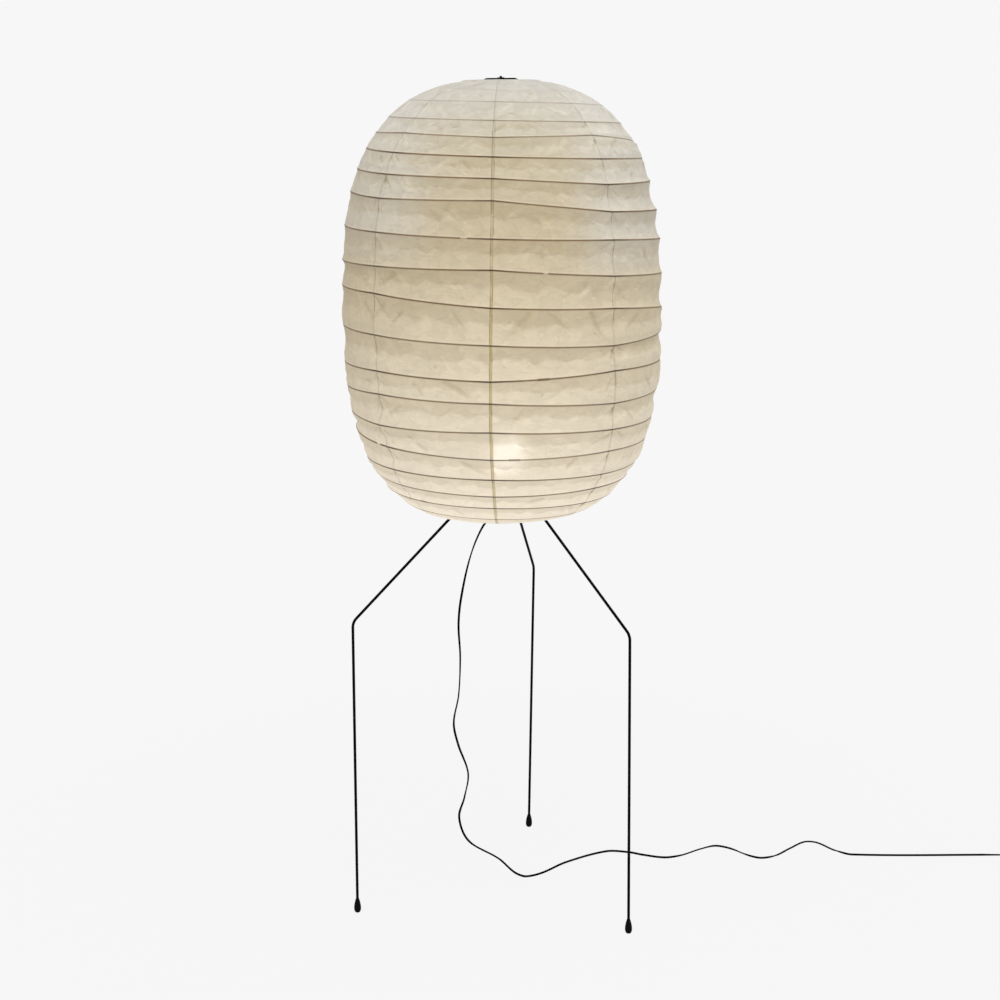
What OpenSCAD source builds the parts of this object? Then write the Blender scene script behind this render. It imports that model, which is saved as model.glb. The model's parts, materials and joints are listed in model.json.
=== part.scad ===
// Paper lantern floor lamp: a tall ribbed paper shade on three bent rod legs.
// Origin on the floor under the lamp's axis, +X to the right, +Y away from the
// viewer, +Z up. All lengths are in millimetres.

/* [Legs] */
// Height of the bend in each leg above the floor
bend_h = 719; // [690:1:735]
// Distance from the lamp's axis to each foot
leg_reach = 374; // [355:1:390]
// How much further out the foot stands than the bend
leg_splay = 6; // [0:1:12]
// Diameter of the leg rod
rod_d = 6.5; // [5:0.5:7]
// Centreline radius of the bend in each leg
bend_r = 29; // [20:1:45]
// Slope of the upper part of each leg above level, in degrees
leg_slope = 43.4; // [42:0.1:44.5]
// Direction of the leg that stands furthest back, in degrees from +X
stand_turn = 79.8; // [60:0.1:100]
// How far that leg stands off an even spread of the three, in degrees
back_offset = -2.2; // [-4:0.1:4]
// How far that leg is turned in its sleeve, in degrees
back_swing = -1.7; // [-3:0.1:3]
// Height of the rubber cap on each foot
foot_h = 34; // [28:1:44]
// Largest diameter of the rubber cap
foot_d = 16.6; // [13:0.2:20]
// Thickness of rubber under the end of the rod
foot_floor = 5; // [3:0.5:8]

/* [Hub] */
// Outer radius of the ring that the legs meet
hub_r = 39; // [37.5:0.5:42]
// Wall of the hub's ring
hub_wall = 3; // [2:0.5:4]
// Height of the hub's ring
hub_h = 30; // [28:1:36]
// Thickness of the plate that carries the lampholder
plate_t = 3; // [2:0.5:4]
// Length of the sleeve that each leg slides into
sleeve_len = 42; // [34:1:50]
// Wall of the leg sleeves
sleeve_wall = 2.1; // [1.6:0.1:2.6]
// Diameter of the clamping screws
screw_d = 4; // [3:0.5:5]
// Diameter of the knurled head of the clamping screws
screw_head_d = 13; // [10:0.5:15]

/* [Shade] */
// Height of the shade from edge to edge
shade_h = 970; // [930:1:1000]
// How far its lower edge stands above the middle of the legs that it rests on
shade_lift = 9.2; // [8.6:0.1:14]
// Largest radius of the shade
shade_r = 361; // [330:1:380]
// Height of the shade's widest place above its lower edge
belly_up = 457; // [420:1:500]
// Radius of the opening in the top
top_neck_r = 82; // [74:1:95]
// Radius of the opening in the bottom
low_neck_r = 126; // [123:1:140]
// Thickness of the paper, with its glued laps
paper_t = 0.6; // [0.4:0.1:0.8]
// Thickness of the bamboo strip
rib_d = 2.6; // [2:0.2:3.4]
// How far the paper draws in between two ribs, as a share of their distance
pinch = 0.05; // [0:0.01:0.09]
// Direction of the seam nearest the viewer, in degrees from +X
seam_turn = 266.7; // [256:0.1:278]
// Diameter of the wire of the two end rings
ring_wire = 3; // [2:0.25:4]

/* [Stretcher] */
// Diameter of the stretcher's wire
harp_d = 3.4; // [2.8:0.2:4]
// Radius of the stretcher's upper corners
harp_corner = 12; // [8:1:20]
// Height of the stretcher's cross bar above the shade's upper edge
harp_rise = 3.6; // [3.2:0.2:8]
// Diameter of the small nut that holds the shade down
finial_d = 5.6; // [5.2:0.2:8]

/* [Bulb and holder] */
// Diameter of the bulb's globe
bulb_d = 60; // [50:1:64]
// Length of the bulb with its cap
bulb_len = 107; // [100:1:115]
// Outer diameter of the bulb's screw cap
cap_d = 26; // [25:0.2:27]
// Outer diameter of the lampholder
holder_d = 40; // [38:0.5:43]
// Wall of the lampholder
holder_wall = 3.2; // [2:0.2:4]
// Diameter of the two ring nuts
nut_d = 52; // [48:0.5:56]
// Height of each ring nut
nut_h = 6; // [4:0.5:8]

/* [Cord] */
// Width of the flat cord
cord_w = 5.6; // [5:0.1:6]
// Thickness of the flat cord
cord_t = 3.4; // [2.8:0.1:3.6]
// Radius of the coil of spare cord
coil_r = 31; // [28:1:36]
// Length of the switch on the cord
switch_l = 62; // [56:1:70]
// Width of the switch on the cord
switch_w = 24; // [22:1:28]
// Height of the switch on the cord
switch_h = 17; // [16:0.5:20]
// Length of the plug's body
plug_l = 34; // [30:1:40]
// Width of the plug's body
plug_w = 24; // [22:1:28]
// Thickness of the plug's body
plug_t = 14; // [13:0.5:16]
// Swing of the switch's rocker between off and on, in degrees
rocker_swing = 20; // [10:1:22]

/* [Hidden] */

fine = 48;   // facets of a round hole or shaft
small = 24;  // facets of a thin rod

steel = "#17171a";
paper = "#dccfb0";
bamboo = "#b79a63";
plastic = "#1c1c1e";
metal = "#b9b3a4";
brass = "#b08d4a";
cord_black = "#141416";

// Clearances
seat_gap = 0.3;    // between pieces that lie against each other
slip_gap = 0.1;    // radial, between a rod and the tube it slides in
run_gap = 0.08;    // radial, between a shaft and the hole it turns in
cut = 1;           // how far a cutting solid runs past the surface it cuts

// ---- Legs ----
LEG_TURNS = [back_offset, 120, 240];  // back, left, right
LEG_SWINGS = [back_swing, 0, 0];      // of each in its sleeve
rod_r = rod_d / 2;
bend_x = leg_reach - leg_splay;
leg_lean = atan(leg_splay / bend_h);
bend_angle = 90 - leg_slope - leg_lean;
bend_tangent = bend_r * tan(bend_angle / 2);
bend_draw = 0.02;  // the rod is this much thinner in its bend
bend_lap = 1;      // degrees that the bend runs on into the straight parts
lower_len = norm([leg_splay, bend_h]);
// distance along the upper part of a leg from its bend to the hub's ring
hub_reach = (bend_x - hub_r) / cos(leg_slope);
leg_socket_end = hub_reach - 1;
// height of a leg's centreline at a distance r from the lamp's axis
function leg_z(r) = bend_h + (bend_x - r) * tan(leg_slope);
// distance of a leg's centreline from the lamp's axis at height z
function leg_r_at(z) = bend_x - (z - bend_h) / tan(leg_slope);

// ---- Hub ----
hub_bore_r = hub_r - hub_wall;
hub_z0 = leg_z(hub_r) - 0.6 * hub_h;
plate_z = hub_z0 + 4;
sleeve_r = rod_r + sleeve_wall;
screw_r = screw_d / 2;
boss_r = screw_r + 2.2;
boss_end = sleeve_r + 4;
screw_place = hub_reach - 0.62 * sleeve_len;
harp_r = harp_d / 2;
harp_sleeve_r = harp_r + 2.3;
harp_floor = 3;

// ---- Shade's heights ----
shade_bottom = leg_z(low_neck_r) + shade_lift;
shade_top = shade_bottom + shade_h;
belly_h = shade_bottom + belly_up;

// ---- Stretcher ----
harp_x = hub_r + harp_r + 0.8;  // each upright stands just outside the hub's ring
harp_top = shade_top + harp_rise;
harp_foot = hub_z0 + harp_floor + seat_gap;
stud_r = 1.5;
eyelet_t = 1;
eyelet_r = 8;
eyelet_z = harp_top + harp_r + 0.1;
finial_h = 3;
stud_h = harp_r + eyelet_t + finial_h;

// ---- Shade ----
rib_r = rib_d / 2;
ring_r = ring_wire / 2;
gores = 8;
gore_step = 360 / gores;
facets = 3;  // facets across one gore
// Distances down the front seam: upper edge to first rib turn, then from turn
// to turn, as the rib was laid by hand, and the last part turn to the lower edge
RIB_DROPS = [20, 27, 39, 34, 39, 43, 44, 77, 63, 78,
             78, 76, 47, 63, 62, 47, 42, 31, 34, 21, 5];
// How far the rib strays up from an even spiral, a quarter and an eighth of a
// turn before each pass of the front seam and as far after it, from this pass on
stray_from = 4;
RIB_STRAY = [
    [1, 5, 7, -5], [7, 3, -2, -1], [5, 1, -11, -6], [0, -5, -19, -18],
    [-8, -3, -2, -8], [-18, -9, -13, -18], [-2, 8, -3, -15], [0, 3, -1, 16],
    [-14, -1, 15, 15], [-18, -2, -7, 2], [-10, -12, -3, -1], [10, 2, 7, 8],
    [-6, -3, -1, 2], [5, 1, 5, 6], [1, -1, -1, -1]
];
rib_turns = len(RIB_DROPS) - 1;
rib_start = 1 / gores;            // turns from the upper edge to the rib's end
rim_turn = rib_turns + 2 * rib_start; // the lower edge, in turns
// The outline is a half of a superellipse above the belly and one below it
TOP_CURVE = [3.02, 1.85];  // powers of height and of radius above the belly
LOW_CURVE = [2.63, 2.21];  // powers of height and of radius below it

function outline_r(a) = a >= 0
    ? top_neck_r + (shade_r - top_neck_r) * pow(cos(a), 2 / TOP_CURVE[1])
    : low_neck_r + (shade_r - low_neck_r) * pow(cos(a), 2 / LOW_CURVE[1]);
function outline_z(a) = a >= 0
    ? belly_h + (shade_top - belly_h) * pow(sin(a), 2 / TOP_CURVE[0])
    : belly_h - (belly_h - shade_bottom) * pow(-sin(a), 2 / LOW_CURVE[0]);
function outline(a) = [outline_r(a), outline_z(a)];
function outline_angle(z) = z >= belly_h
    ? asin(pow((z - belly_h) / (shade_top - belly_h), TOP_CURVE[0] / 2))
    : -asin(pow((belly_h - z) / (belly_h - shade_bottom), LOW_CURVE[0] / 2));
function sum(list, n, i = 0) = i >= n ? 0 : list[i] + sum(list, n, i + 1);
all_drops = sum(RIB_DROPS, len(RIB_DROPS));
rib_angles = [for (k = [0:rib_turns])
    outline_angle(shade_top - shade_h * sum(RIB_DROPS, k) / all_drops)];
// the outline's angle at t turns below the upper edge, for an even spiral
function even_angle(t) = t >= rib_turns
    ? rib_angles[rib_turns] + (-90 - rib_angles[rib_turns])
        * (t - rib_turns) / (rim_turn - rib_turns)
    : rib_angles[floor(t)] + (rib_angles[floor(t) + 1] - rib_angles[floor(t)])
        * (t - floor(t));
STRAY_AT = [
    for (k = [0:len(RIB_STRAY) - 1]) let (t = stray_from + k, m = RIB_STRAY[k])
        each [[t - 0.25, m[0]], [t - 0.125, m[1]], [t, 0], [t + 0.125, m[2]], [t + 0.25, m[3]]],
    [stray_from + len(RIB_STRAY), 0]
];
// the same with the rib's stray
function turn_angle(t) =
    t <= stray_from - 0.25 || t >= stray_from + len(RIB_STRAY) ? even_angle(t)
    : outline_angle(outline_z(even_angle(t)) + lookup(t, STRAY_AT) * shade_h / 970);
function unit(v) = v / norm(v);
// the outline's normal towards the inside
function inward(a) = let (
        d = outline(min(a + 1, 90)) - outline(max(a - 1, -90))
    ) unit([-d[1], d[0]]);

// One column of the paper at a share f of a turn: upper edge, the rib's turns
// and lower edge, with a fold half way between each two
function edge_rows(f) = [
    outline(90),
    for (k = [0:rib_turns - 1]) outline(turn_angle(rib_start + f + k)),
    outline(-90)
];
function fold(p, q) = let (d = q - p) (p + q) / 2 + pinch * [d[1], -d[0]];
function folded(rows) = [
    for (i = [0:2 * len(rows) - 2])
        i % 2 == 0 ? rows[i / 2] : fold(rows[(i - 1) / 2], rows[(i + 1) / 2])
];
function lining(rows) = let (n = len(rows) - 1) [
    for (i = [0:n])
        let (d = unit(rows[min(i + 1, n)] - rows[max(i - 1, 0)]))
        rows[i] + paper_t * [d[1], -d[0]]
];
function turned(rows, phi) = [for (p = rows) [p[0] * cos(phi), p[0] * sin(phi), p[1]]];

spiral_turn = seam_turn + gore_step;  // where the rib starts, above a seam
rib_steps = gores * facets;           // rings of the rib in one turn
rib_seat = 0.6;                       // between the paper and the rib
rib_inset = paper_t + rib_seat + rib_r;  // from the paper's face to the rib's middle
function rib_point(i) = let (
        a = turn_angle(rib_start + i / rib_steps),
        p = outline(a) + rib_inset * inward(a),
        phi = spiral_turn + 360 * i / rib_steps
    ) [p[0] * cos(phi), p[0] * sin(phi), p[1]];
rib_last = rib_turns * rib_steps;
rib_line = [for (i = [0:rib_last]) rib_point(i)];
rib_gap = min([for (i = [0:rib_last - rib_steps])
    min([for (j = [-2:2]) let (k = min(rib_last, i + rib_steps + j))
        norm(rib_line[i] - rib_line[k])])]) - rib_d;
echo(least_gap_between_rib_turns = rib_gap);

// ---- Bulb and holder ----
bulb_r = bulb_d / 2;
cap_r = cap_d / 2;
contact_z = plate_z - 10;  // lowest point of the bulb
glow_h = contact_z + bulb_len - bulb_r;  // middle of the globe
cap_h = 26.5;
bead_h = 2;
insulator_h = 2.5;
cap_z0 = contact_z + bead_h + insulator_h;
cap_z1 = contact_z + cap_h;
cap_skin = 0.4;
glass_t = 0.8;
neck_r = cap_r - cap_skin - 0.2;
neck_z = cap_z1 - 5;      // where the glass ends, inside its cap
stem_z = neck_z - 1.5;
holder_r = holder_d / 2;
holder_bore_r = holder_r - holder_wall;
insert_h = 7;
insert_z = contact_z - 4 - insert_h;
holder_z0 = insert_z;
holder_z1 = cap_z1 + 1;
shell_r = cap_r + seat_gap;
shell_t = 0.5;
terminal_x = 10;
nut_gap = 0.1;
// the holder's cap is a shallow dome with the cord's grip in its middle
dome_h = 12;
dome_t = 2.5;
dome_low_r = 10;
dome_z = holder_z0 - dome_h;
grip_r = 5.5;
grip_bore_r = cord_w / 2 + 0.5;
grip_h = 10;
grip_nut_r = 8;
grip_z = dome_z - grip_h;
grip_top = dome_z + dome_t + 1;
cord_top = grip_top + 0.5;

// ---- Cord ----
cord_rest = cord_t / 2;  // height of the middle of a cord that lies on the floor
// Route of the cord, chosen by hand: out of the holder, whose grip is 973 high,
// down to the floor and over the floor to the switch
grip_route_h = 973;
HANGING = [
    [0, 0, 972], [-4, 0, 960], [-21, 0, 940], [-47, 0, 914], [-77, 0, 842],
    [-100, 1, 740], [-107, 6, 672], [-104, 12, 590], [-109, 20, 492],
    [-122, 35, 415], [-112, 46, 355], [-89, 62, 275], [-99, 78, 205],
    [-113, 92, 145], [-90, 98, 80], [-15, 80, 40], [26, 62, 10]
];
LYING = [
    [57, 57, 1.7], [94, 77, 1.7], [157, 139, 1.7], [262, 202, 1.7],
    [318, 196, 1.7], [355, 179, 1.7], [408, 163, 1.7], [450, 175, 1.7],
    [506, 214, 1.7], [546, 232, 1.7], [583, 215, 1.7], [628, 169, 1.7],
    [655, 157, 1.7], [690, 170, 1.7], [738, 217, 1.7], [782, 256, 1.7],
    [812, 251, 1.7], [850, 202, 1.7], [890, 174, 1.7], [1260, 168, 1.7],
    [1286, 169, 5], [1311.5, 169, 5]
];
ROUTE = concat(
    [[0, 0, cord_top]],
    [for (p = HANGING) [p[0], p[1], p[2] * grip_z / grip_route_h]],
    LYING
);
switch_start = [1312, 169, 5];
switch_end = switch_start + [switch_l, 0, 0];
tie_t = 0.8;
coil_low = tie_t + 0.1 + cord_t / 2;
coil_climb = cord_t + 0.6;
coil_turns = 2.25;
coil_steps = 24;
coil_x = 1442;
coil_y = switch_end[1] - coil_r;
// From the switch to the coil, and from the coil to the plug
cord_break = 0.3;  // between the pieces that the drawn cord is made in
LEAD = [
    switch_end + [0.5, 0, 0], switch_end + [20, 0, 0],
    [coil_x - 26, switch_end[1], 3.5],
    [coil_x - cord_w - cord_break, switch_end[1], coil_low]
];
coil_end_z = coil_low + coil_climb * coil_turns;
plug_y = 61;
END_ROUTE = [
    [coil_x + coil_r, coil_y - cord_w - cord_break, coil_end_z],
    [coil_x + coil_r, 111, 9.6], [coil_x + coil_r, 87, plug_t / 2],
    [coil_x + coil_r, plug_y, plug_t / 2]
];
relief_len = 22;
relief_r = 5;
relief_tip_r = 3.9;
relief_bore_r = cord_w / 2 + seat_gap;

// a smooth curve through a list of points
function along(route, i) = let (
        n = len(route) - 1,
        p = route[max(i - 1, 0)], q = route[min(i + 1, n)]
    ) (q - p) / max(norm(route[i] - p) + norm(q - route[i]), 0.001);
function between(route, i, u) = let (
        p = route[i], q = route[i + 1], span = norm(q - p)
    ) (2 * u * u * u - 3 * u * u + 1) * p + (u * u * u - 2 * u * u + u) * span * along(route, i)
        + (3 * u * u - 2 * u * u * u) * q + (u * u * u - u * u) * span * along(route, i + 1);
function smooth(route, steps, low) = [
    for (i = [0:len(route) - 2]) for (s = [0:steps - 1])
        let (p = between(route, i, s / steps)) [p[0], p[1], max(p[2], low)],
    route[len(route) - 1]
];
// sideways direction of the flat cord: level, square to its run, and along X
// where it hangs
function flatwise(t) = let (
        level = norm([t[0], t[1]]),
        w = min(max((level - 0.6) / 0.3, 0), 1),
        s = (1 - w) * [1, 0, 0] + (level > 0.01 ? w / level : 0) * [-t[1], t[0], 0]
    ) unit(s - (s * t) * t);
function cord_rings(line, sides) = let (n = len(line) - 1) [
    for (i = [0:n])
        let (
            t = unit(line[min(i + 1, n)] - line[max(i - 1, 0)]),
            side = flatwise(t), up = cross(t, side)
        )
        for (k = [0:sides - 1])
            line[i] + cord_w / 2 * cos(360 * k / sides) * side
                + cord_t / 2 * sin(360 * k / sides) * up
];
coil_line = [
    [coil_x - cord_w, coil_y + coil_r, coil_low],
    for (i = [0:coil_turns * coil_steps])
        let (a = 90 - 360 * i / coil_steps)
        [coil_x + coil_r * cos(a), coil_y + coil_r * sin(a),
         coil_low + coil_climb * i / coil_steps],
    END_ROUTE[0] + [0, cord_break, 0]
];
coil_gap = min([for (i = [0:len(coil_line) - coil_steps - 1])
    norm(coil_line[i] - coil_line[i + coil_steps])]) - cord_t;
echo(least_gap_between_coil_turns = coil_gap);
function run_length(line, i = 0) = i >= len(line) - 1 ? 0
    : norm(line[i + 1] - line[i]) + run_length(line, i + 1);
echo(cord_length = run_length(smooth(ROUTE, 4, cord_rest)) + switch_l
    + run_length(LEAD) + run_length(coil_line) + run_length(END_ROUTE));

// ---- Switch ----
switch_split = 8;   // height of the joint between its two halves
switch_shell = 2;
rocker_l = 16.6;
rocker_w = 10;
window_l = rocker_l + 3;
window_w = rocker_w + 0.8;
pivot_r = 1;
pivot_z = 11;
cheek_w = 2.4;
case_screw_r = 1.4;
case_screw_x = switch_l / 2 - 9;
case_screw_y = switch_w / 2 - 5.2;

// ===== Shapes used more than once =====

// a closed tube through rings of points that lie one after another in a list
module tube(points, sides) {
    rings = len(points) / sides;
    walls = [for (i = [0:rings - 2]) for (k = [0:sides - 1])
        let (a = i * sides + k, b = i * sides + (k + 1) % sides)
        each [[a, a + sides, b], [b, a + sides, b + sides]]];
    first = [for (k = [1:sides - 2]) [0, k, k + 1]];
    top = (rings - 1) * sides;
    last = [for (k = [1:sides - 2]) [top, top + k + 1, top + k]];
    polyhedron(points = points, faces = concat(walls, first, last));
}

module ring(inner, outer, height, z = 0) {
    translate([0, 0, z]) difference() {
        cylinder(r = outer, h = height, $fn = fine);
        translate([0, 0, -cut]) cylinder(r = inner, h = height + 2 * cut, $fn = fine);
    }
}

module rounded_plate(length, width, height, corner) {
    linear_extrude(height) {
        square([length - 2 * corner, width], center = true);
        square([length, width - 2 * corner], center = true);
        for (x = [-1, 1]) for (y = [-1, 1])
            translate([x * (length / 2 - corner), y * (width / 2 - corner)])
                circle(corner, $fn = small);
    }
}

// ===== Frames of the pieces =====

module on_stand() rotate([0, 0, stand_turn - 90]) children();

// origin at the bend of leg i, +X outwards, +Z along the lower part
module on_bend(i) rotate([0, 0, stand_turn + LEG_TURNS[i]])
    translate([bend_x, 0, bend_h]) rotate([0, -leg_lean, 0]) children();

// the same, with the leg turned in its sleeve
module on_leg(i) rotate([0, 0, stand_turn + LEG_TURNS[i]])
    translate([bend_x, 0, bend_h])
        rotate(a = LEG_SWINGS[i], v = [-cos(leg_slope), 0, sin(leg_slope)])
            rotate([0, -leg_lean, 0]) children();

// origin at the bend of leg i, +Z along the upper part, towards the hub
module on_upper_leg(i) on_bend(i) rotate([0, -bend_angle, 0]) children();

// ===== Legs and feet =====

module leg(i) {
    color(steel) on_leg(i) {
        translate([0, 0, foot_floor - lower_len])
            cylinder(r = rod_r, h = lower_len - foot_floor - bend_tangent, $fn = small);
        translate([-bend_r, 0, -bend_tangent]) rotate([90, 0, 0]) rotate([0, 0, -bend_lap])
            rotate_extrude(angle = bend_angle + 2 * bend_lap, $fn = 96)
                translate([bend_r, 0]) circle(rod_r - bend_draw, $fn = small);
        rotate([0, -bend_angle, 0]) translate([0, 0, bend_tangent])
            cylinder(r = rod_r, h = leg_socket_end - seat_gap - bend_tangent, $fn = small);
    }
}

foot_mouth_r = rod_r + slip_gap + 0.6;
foot_sole_r = 0.48 * foot_d / 2;
foot_belly = 0.31 * foot_h;
function foot_r(z) = z < foot_belly
    ? foot_sole_r + (foot_d / 2 - foot_sole_r) * sqrt(1 - pow(1 - z / foot_belly, 2))
    : foot_mouth_r + (foot_d / 2 - foot_mouth_r)
        * (1 - pow((z - foot_belly) / (foot_h - foot_belly), 1.7));

module foot_cap(i) {
    steps = 12;
    outline = [for (s = [0:steps]) let (z = foot_h * (1 - cos(90 * s / steps))) [foot_r(z), z]];
    color(plastic) difference() {
        on_leg(i) translate([0, 0, -lower_len])
            rotate_extrude($fn = fine)
                polygon(concat([[0, -cut], [foot_sole_r, -cut]], outline, [[0, foot_h]]));
        on_leg(i) translate([0, 0, foot_floor - lower_len])
            cylinder(r = rod_r + slip_gap, h = foot_h, $fn = fine);
        rotate([0, 0, stand_turn + LEG_TURNS[i]]) translate([leg_reach, 0, -2 * cut])
            cylinder(r = 3 * foot_d, h = 2 * cut, $fn = fine);
    }
}

// ===== Hub =====

module leg_hub() {
    color(steel) difference() {
        union() {
            difference() {
                union() {
                    translate([0, 0, hub_z0]) cylinder(r = hub_r, h = hub_h, $fn = 96);
                    for (i = [0:2]) on_upper_leg(i) {
                        translate([0, 0, hub_reach - sleeve_len])
                            cylinder(r = sleeve_r, h = sleeve_len + 5, $fn = fine);
                        translate([0, 0, screw_place]) rotate([-90, 0, 0])
                            cylinder(r = boss_r, h = boss_end, $fn = small);
                    }
                    for (x = [-1, 1]) on_stand() translate([x * harp_x, 0, hub_z0])
                        cylinder(r = harp_sleeve_r, h = hub_h, $fn = fine);
                }
                translate([0, 0, hub_z0 - cut])
                    cylinder(r = hub_bore_r, h = hub_h + 2 * cut, $fn = 96);
            }
            translate([0, 0, plate_z]) cylinder(r = hub_bore_r + hub_wall / 2, h = plate_t, $fn = 96);
        }
        translate([0, 0, plate_z - cut])
            cylinder(r = holder_r + 0.15, h = plate_t + 2 * cut, $fn = fine);
        for (i = [0:2]) on_upper_leg(i) {
            translate([0, 0, hub_reach - sleeve_len - cut])
                cylinder(r = rod_r + slip_gap, h = leg_socket_end - hub_reach + sleeve_len + cut,
                         $fn = fine);
            translate([0, 0, screw_place]) rotate([-90, 0, 0])
                cylinder(r = screw_r + run_gap, h = boss_end + cut, $fn = small);
        }
        for (x = [-1, 1]) on_stand() translate([x * harp_x, 0, hub_z0 + harp_floor])
            cylinder(r = harp_r + slip_gap, h = hub_h, $fn = fine);
    }
}

module leg_screw(i) {
    notches = 10;
    head_r = screw_head_d / 2;
    head_y = boss_end + seat_gap;
    head_h = 5.5;
    color(metal) on_upper_leg(i) translate([0, 0, screw_place]) rotate([-90, 0, 0]) {
        translate([0, 0, rod_r + 0.1]) cylinder(r = screw_r, h = head_y - rod_r - 0.1, $fn = small);
        difference() {
            translate([0, 0, head_y]) cylinder(r = head_r, h = head_h, $fn = fine);
            for (n = [0:notches - 1]) rotate([0, 0, n * 360 / notches])
                translate([head_r + 0.5, 0, head_y - cut])
                    cylinder(r = 1.3, h = head_h + 2 * cut, $fn = small);
        }
    }
}

// ===== Stretcher and end rings =====

module harp() {
    rise = harp_top - harp_corner - harp_foot;
    color(steel) on_stand() {
        for (side = [0, 1]) mirror([side, 0, 0]) {
            translate([harp_x, 0, harp_foot]) cylinder(r = harp_r, h = rise, $fn = small);
            translate([harp_x - harp_corner, 0, harp_top - harp_corner]) rotate([90, 0, 0])
                rotate_extrude(angle = 90, $fn = 64)
                    translate([harp_corner, 0]) circle(harp_r, $fn = small);
            translate([0, 0, harp_top]) rotate([0, 90, 0])
                cylinder(r = harp_r, h = harp_x - harp_corner, $fn = small);
        }
        translate([0, 0, harp_top]) cylinder(r = stud_r, h = stud_h, $fn = small);
    }
}

module finial() {
    color(steel) translate([0, 0, eyelet_z + eyelet_t + 0.1]) difference() {
        union() {
            cylinder(r = finial_d / 2, h = finial_h - 0.8, $fn = small);
            translate([0, 0, finial_h - 0.8])
                cylinder(r1 = finial_d / 2, r2 = finial_d / 2 - 0.8, h = 0.8, $fn = small);
        }
        translate([0, 0, -cut]) cylinder(r = stud_r + run_gap, h = finial_h + 3 * cut, $fn = small);
        translate([finial_d / 2 + 0.4, 0, -cut]) cylinder(r = 0.9, h = finial_h + 3 * cut, $fn = small);
        translate([-finial_d / 2 - 0.4, 0, -cut]) cylinder(r = 0.9, h = finial_h + 3 * cut, $fn = small);
    }
}

// each ring lies in the fold of the paper's edge
edge_gap = seat_gap + 0.2;
top_ring_r = top_neck_r;
top_ring_z = shade_top - paper_t - edge_gap - ring_r;
low_ring_r = low_neck_r;
low_ring_z = shade_bottom + paper_t + edge_gap + ring_r;

module wire_ring(r, z) {
    translate([0, 0, z]) rotate_extrude($fn = 96) translate([r, 0]) circle(ring_r, $fn = small);
}

// the upper ring with the two wires that lift it off the stretcher
module top_ring() {
    arm_r = 1.2;
    arm_z = eyelet_z + eyelet_t / 2;
    arm_in = eyelet_r - 1;
    arm = [top_ring_r - arm_in, top_ring_z - arm_z];
    color(steel) {
        wire_ring(top_ring_r, top_ring_z);
        on_stand() for (side = [90, -90]) rotate([0, 0, side])
            translate([arm_in, 0, arm_z]) rotate([0, 90 - atan2(arm[1], arm[0]), 0])
                cylinder(r = arm_r, h = norm(arm), $fn = small);
        ring(stud_r + 0.2, eyelet_r, eyelet_t, eyelet_z);
    }
}

module bottom_ring() color(steel) wire_ring(low_ring_r, low_ring_z);

// small saddles on the legs that hold the lower ring down against the paper's pull
clip_len = 9;
clip_w = 7;
clip_t = 1.4;
clip_r = rod_r + 1.8;
clip_z = low_ring_z + ring_r + 0.15;
clip_cut = 3 * clip_len;
clip_place = (bend_x - leg_r_at(clip_z)) / cos(leg_slope);

module ring_clips() {
    color(metal) for (i = [0:2]) difference() {
        union() {
            on_upper_leg(i) translate([0, 0, clip_place])
                cylinder(r = clip_r, h = clip_len, $fn = fine);
            rotate([0, 0, stand_turn + LEG_TURNS[i]])
                translate([leg_r_at(clip_z), -clip_w / 2, clip_z])
                    cube([low_ring_r + ring_r + clip_t - leg_r_at(clip_z), clip_w, clip_t]);
            rotate([0, 0, stand_turn + LEG_TURNS[i]])
                translate([low_ring_r + ring_r + 0.2, -clip_w / 2, low_ring_z])
                    cube([clip_t - 0.2, clip_w, clip_z - low_ring_z + clip_t]);
        }
        on_upper_leg(i) translate([0, 0, clip_place - clip_cut])
            cylinder(r = rod_r + slip_gap, h = 2 * clip_cut, $fn = fine);
    }
}

// ===== Shade =====

module paper_gore(g) {
    phi0 = seam_turn + gore_step * g;
    f0 = (g - 1) / gores;  // share of a turn from the rib's start
    columns = [for (c = [0:facets]) folded(edge_rows(f0 + c / facets / gores))];
    rows = len(columns[0]);
    outer = [for (c = [0:facets]) each turned(columns[c], phi0 + gore_step * c / facets)];
    inner = [for (c = [0:facets]) each turned(lining(columns[c]), phi0 + gore_step * c / facets)];
    n = len(outer);
    skin = [for (c = [0:facets - 1]) for (i = [0:rows - 2])
        let (a = c * rows + i, b = a + rows)
        each [[a, a + 1, b], [b, a + 1, b + 1]]];
    back = [for (f = skin) [f[0] + n, f[2] + n, f[1] + n]];
    side = [for (i = [0:rows - 2]) let (a = i)
        each [[a, a + n, a + 1], [a + 1, a + n, a + 1 + n]]];
    far_side = [for (i = [0:rows - 2]) let (a = facets * rows + i)
        each [[a, a + 1, a + n], [a + 1, a + 1 + n, a + n]]];
    rim = [for (c = [0:facets - 1]) let (a = c * rows, b = a + rows)
        each [[a, b, a + n], [b, b + n, a + n]]];
    low_rim = [for (c = [0:facets - 1]) let (a = c * rows + rows - 1, b = a + rows)
        each [[a, a + n, b], [b, a + n, b + n]]];
    color(paper) polyhedron(points = concat(outer, inner),
        faces = concat(skin, back, side, far_side, rim, low_rim));
}

module bamboo_rib() {
    sides = 6;
    rings = [for (i = [0:rib_last])
        let (
            p = rib_line[i], phi = spiral_turn + 360 * i / rib_steps,
            n = inward(turn_angle(rib_start + i / rib_steps)),
            u = [n[0] * cos(phi), n[0] * sin(phi), n[1]],
            v = [-n[1] * cos(phi), -n[1] * sin(phi), n[0]]
        )
        for (k = [0:sides - 1])
            let (a = 30 + 360 * k / sides) p + rib_r * (cos(a) * u - sin(a) * v)
    ];
    color(bamboo) tube(rings, sides);
}

// ===== Lampholder =====

module holder_shell() {
    color(plastic) ring(holder_bore_r, holder_r, holder_z1 - holder_z0, holder_z0);
}

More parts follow.
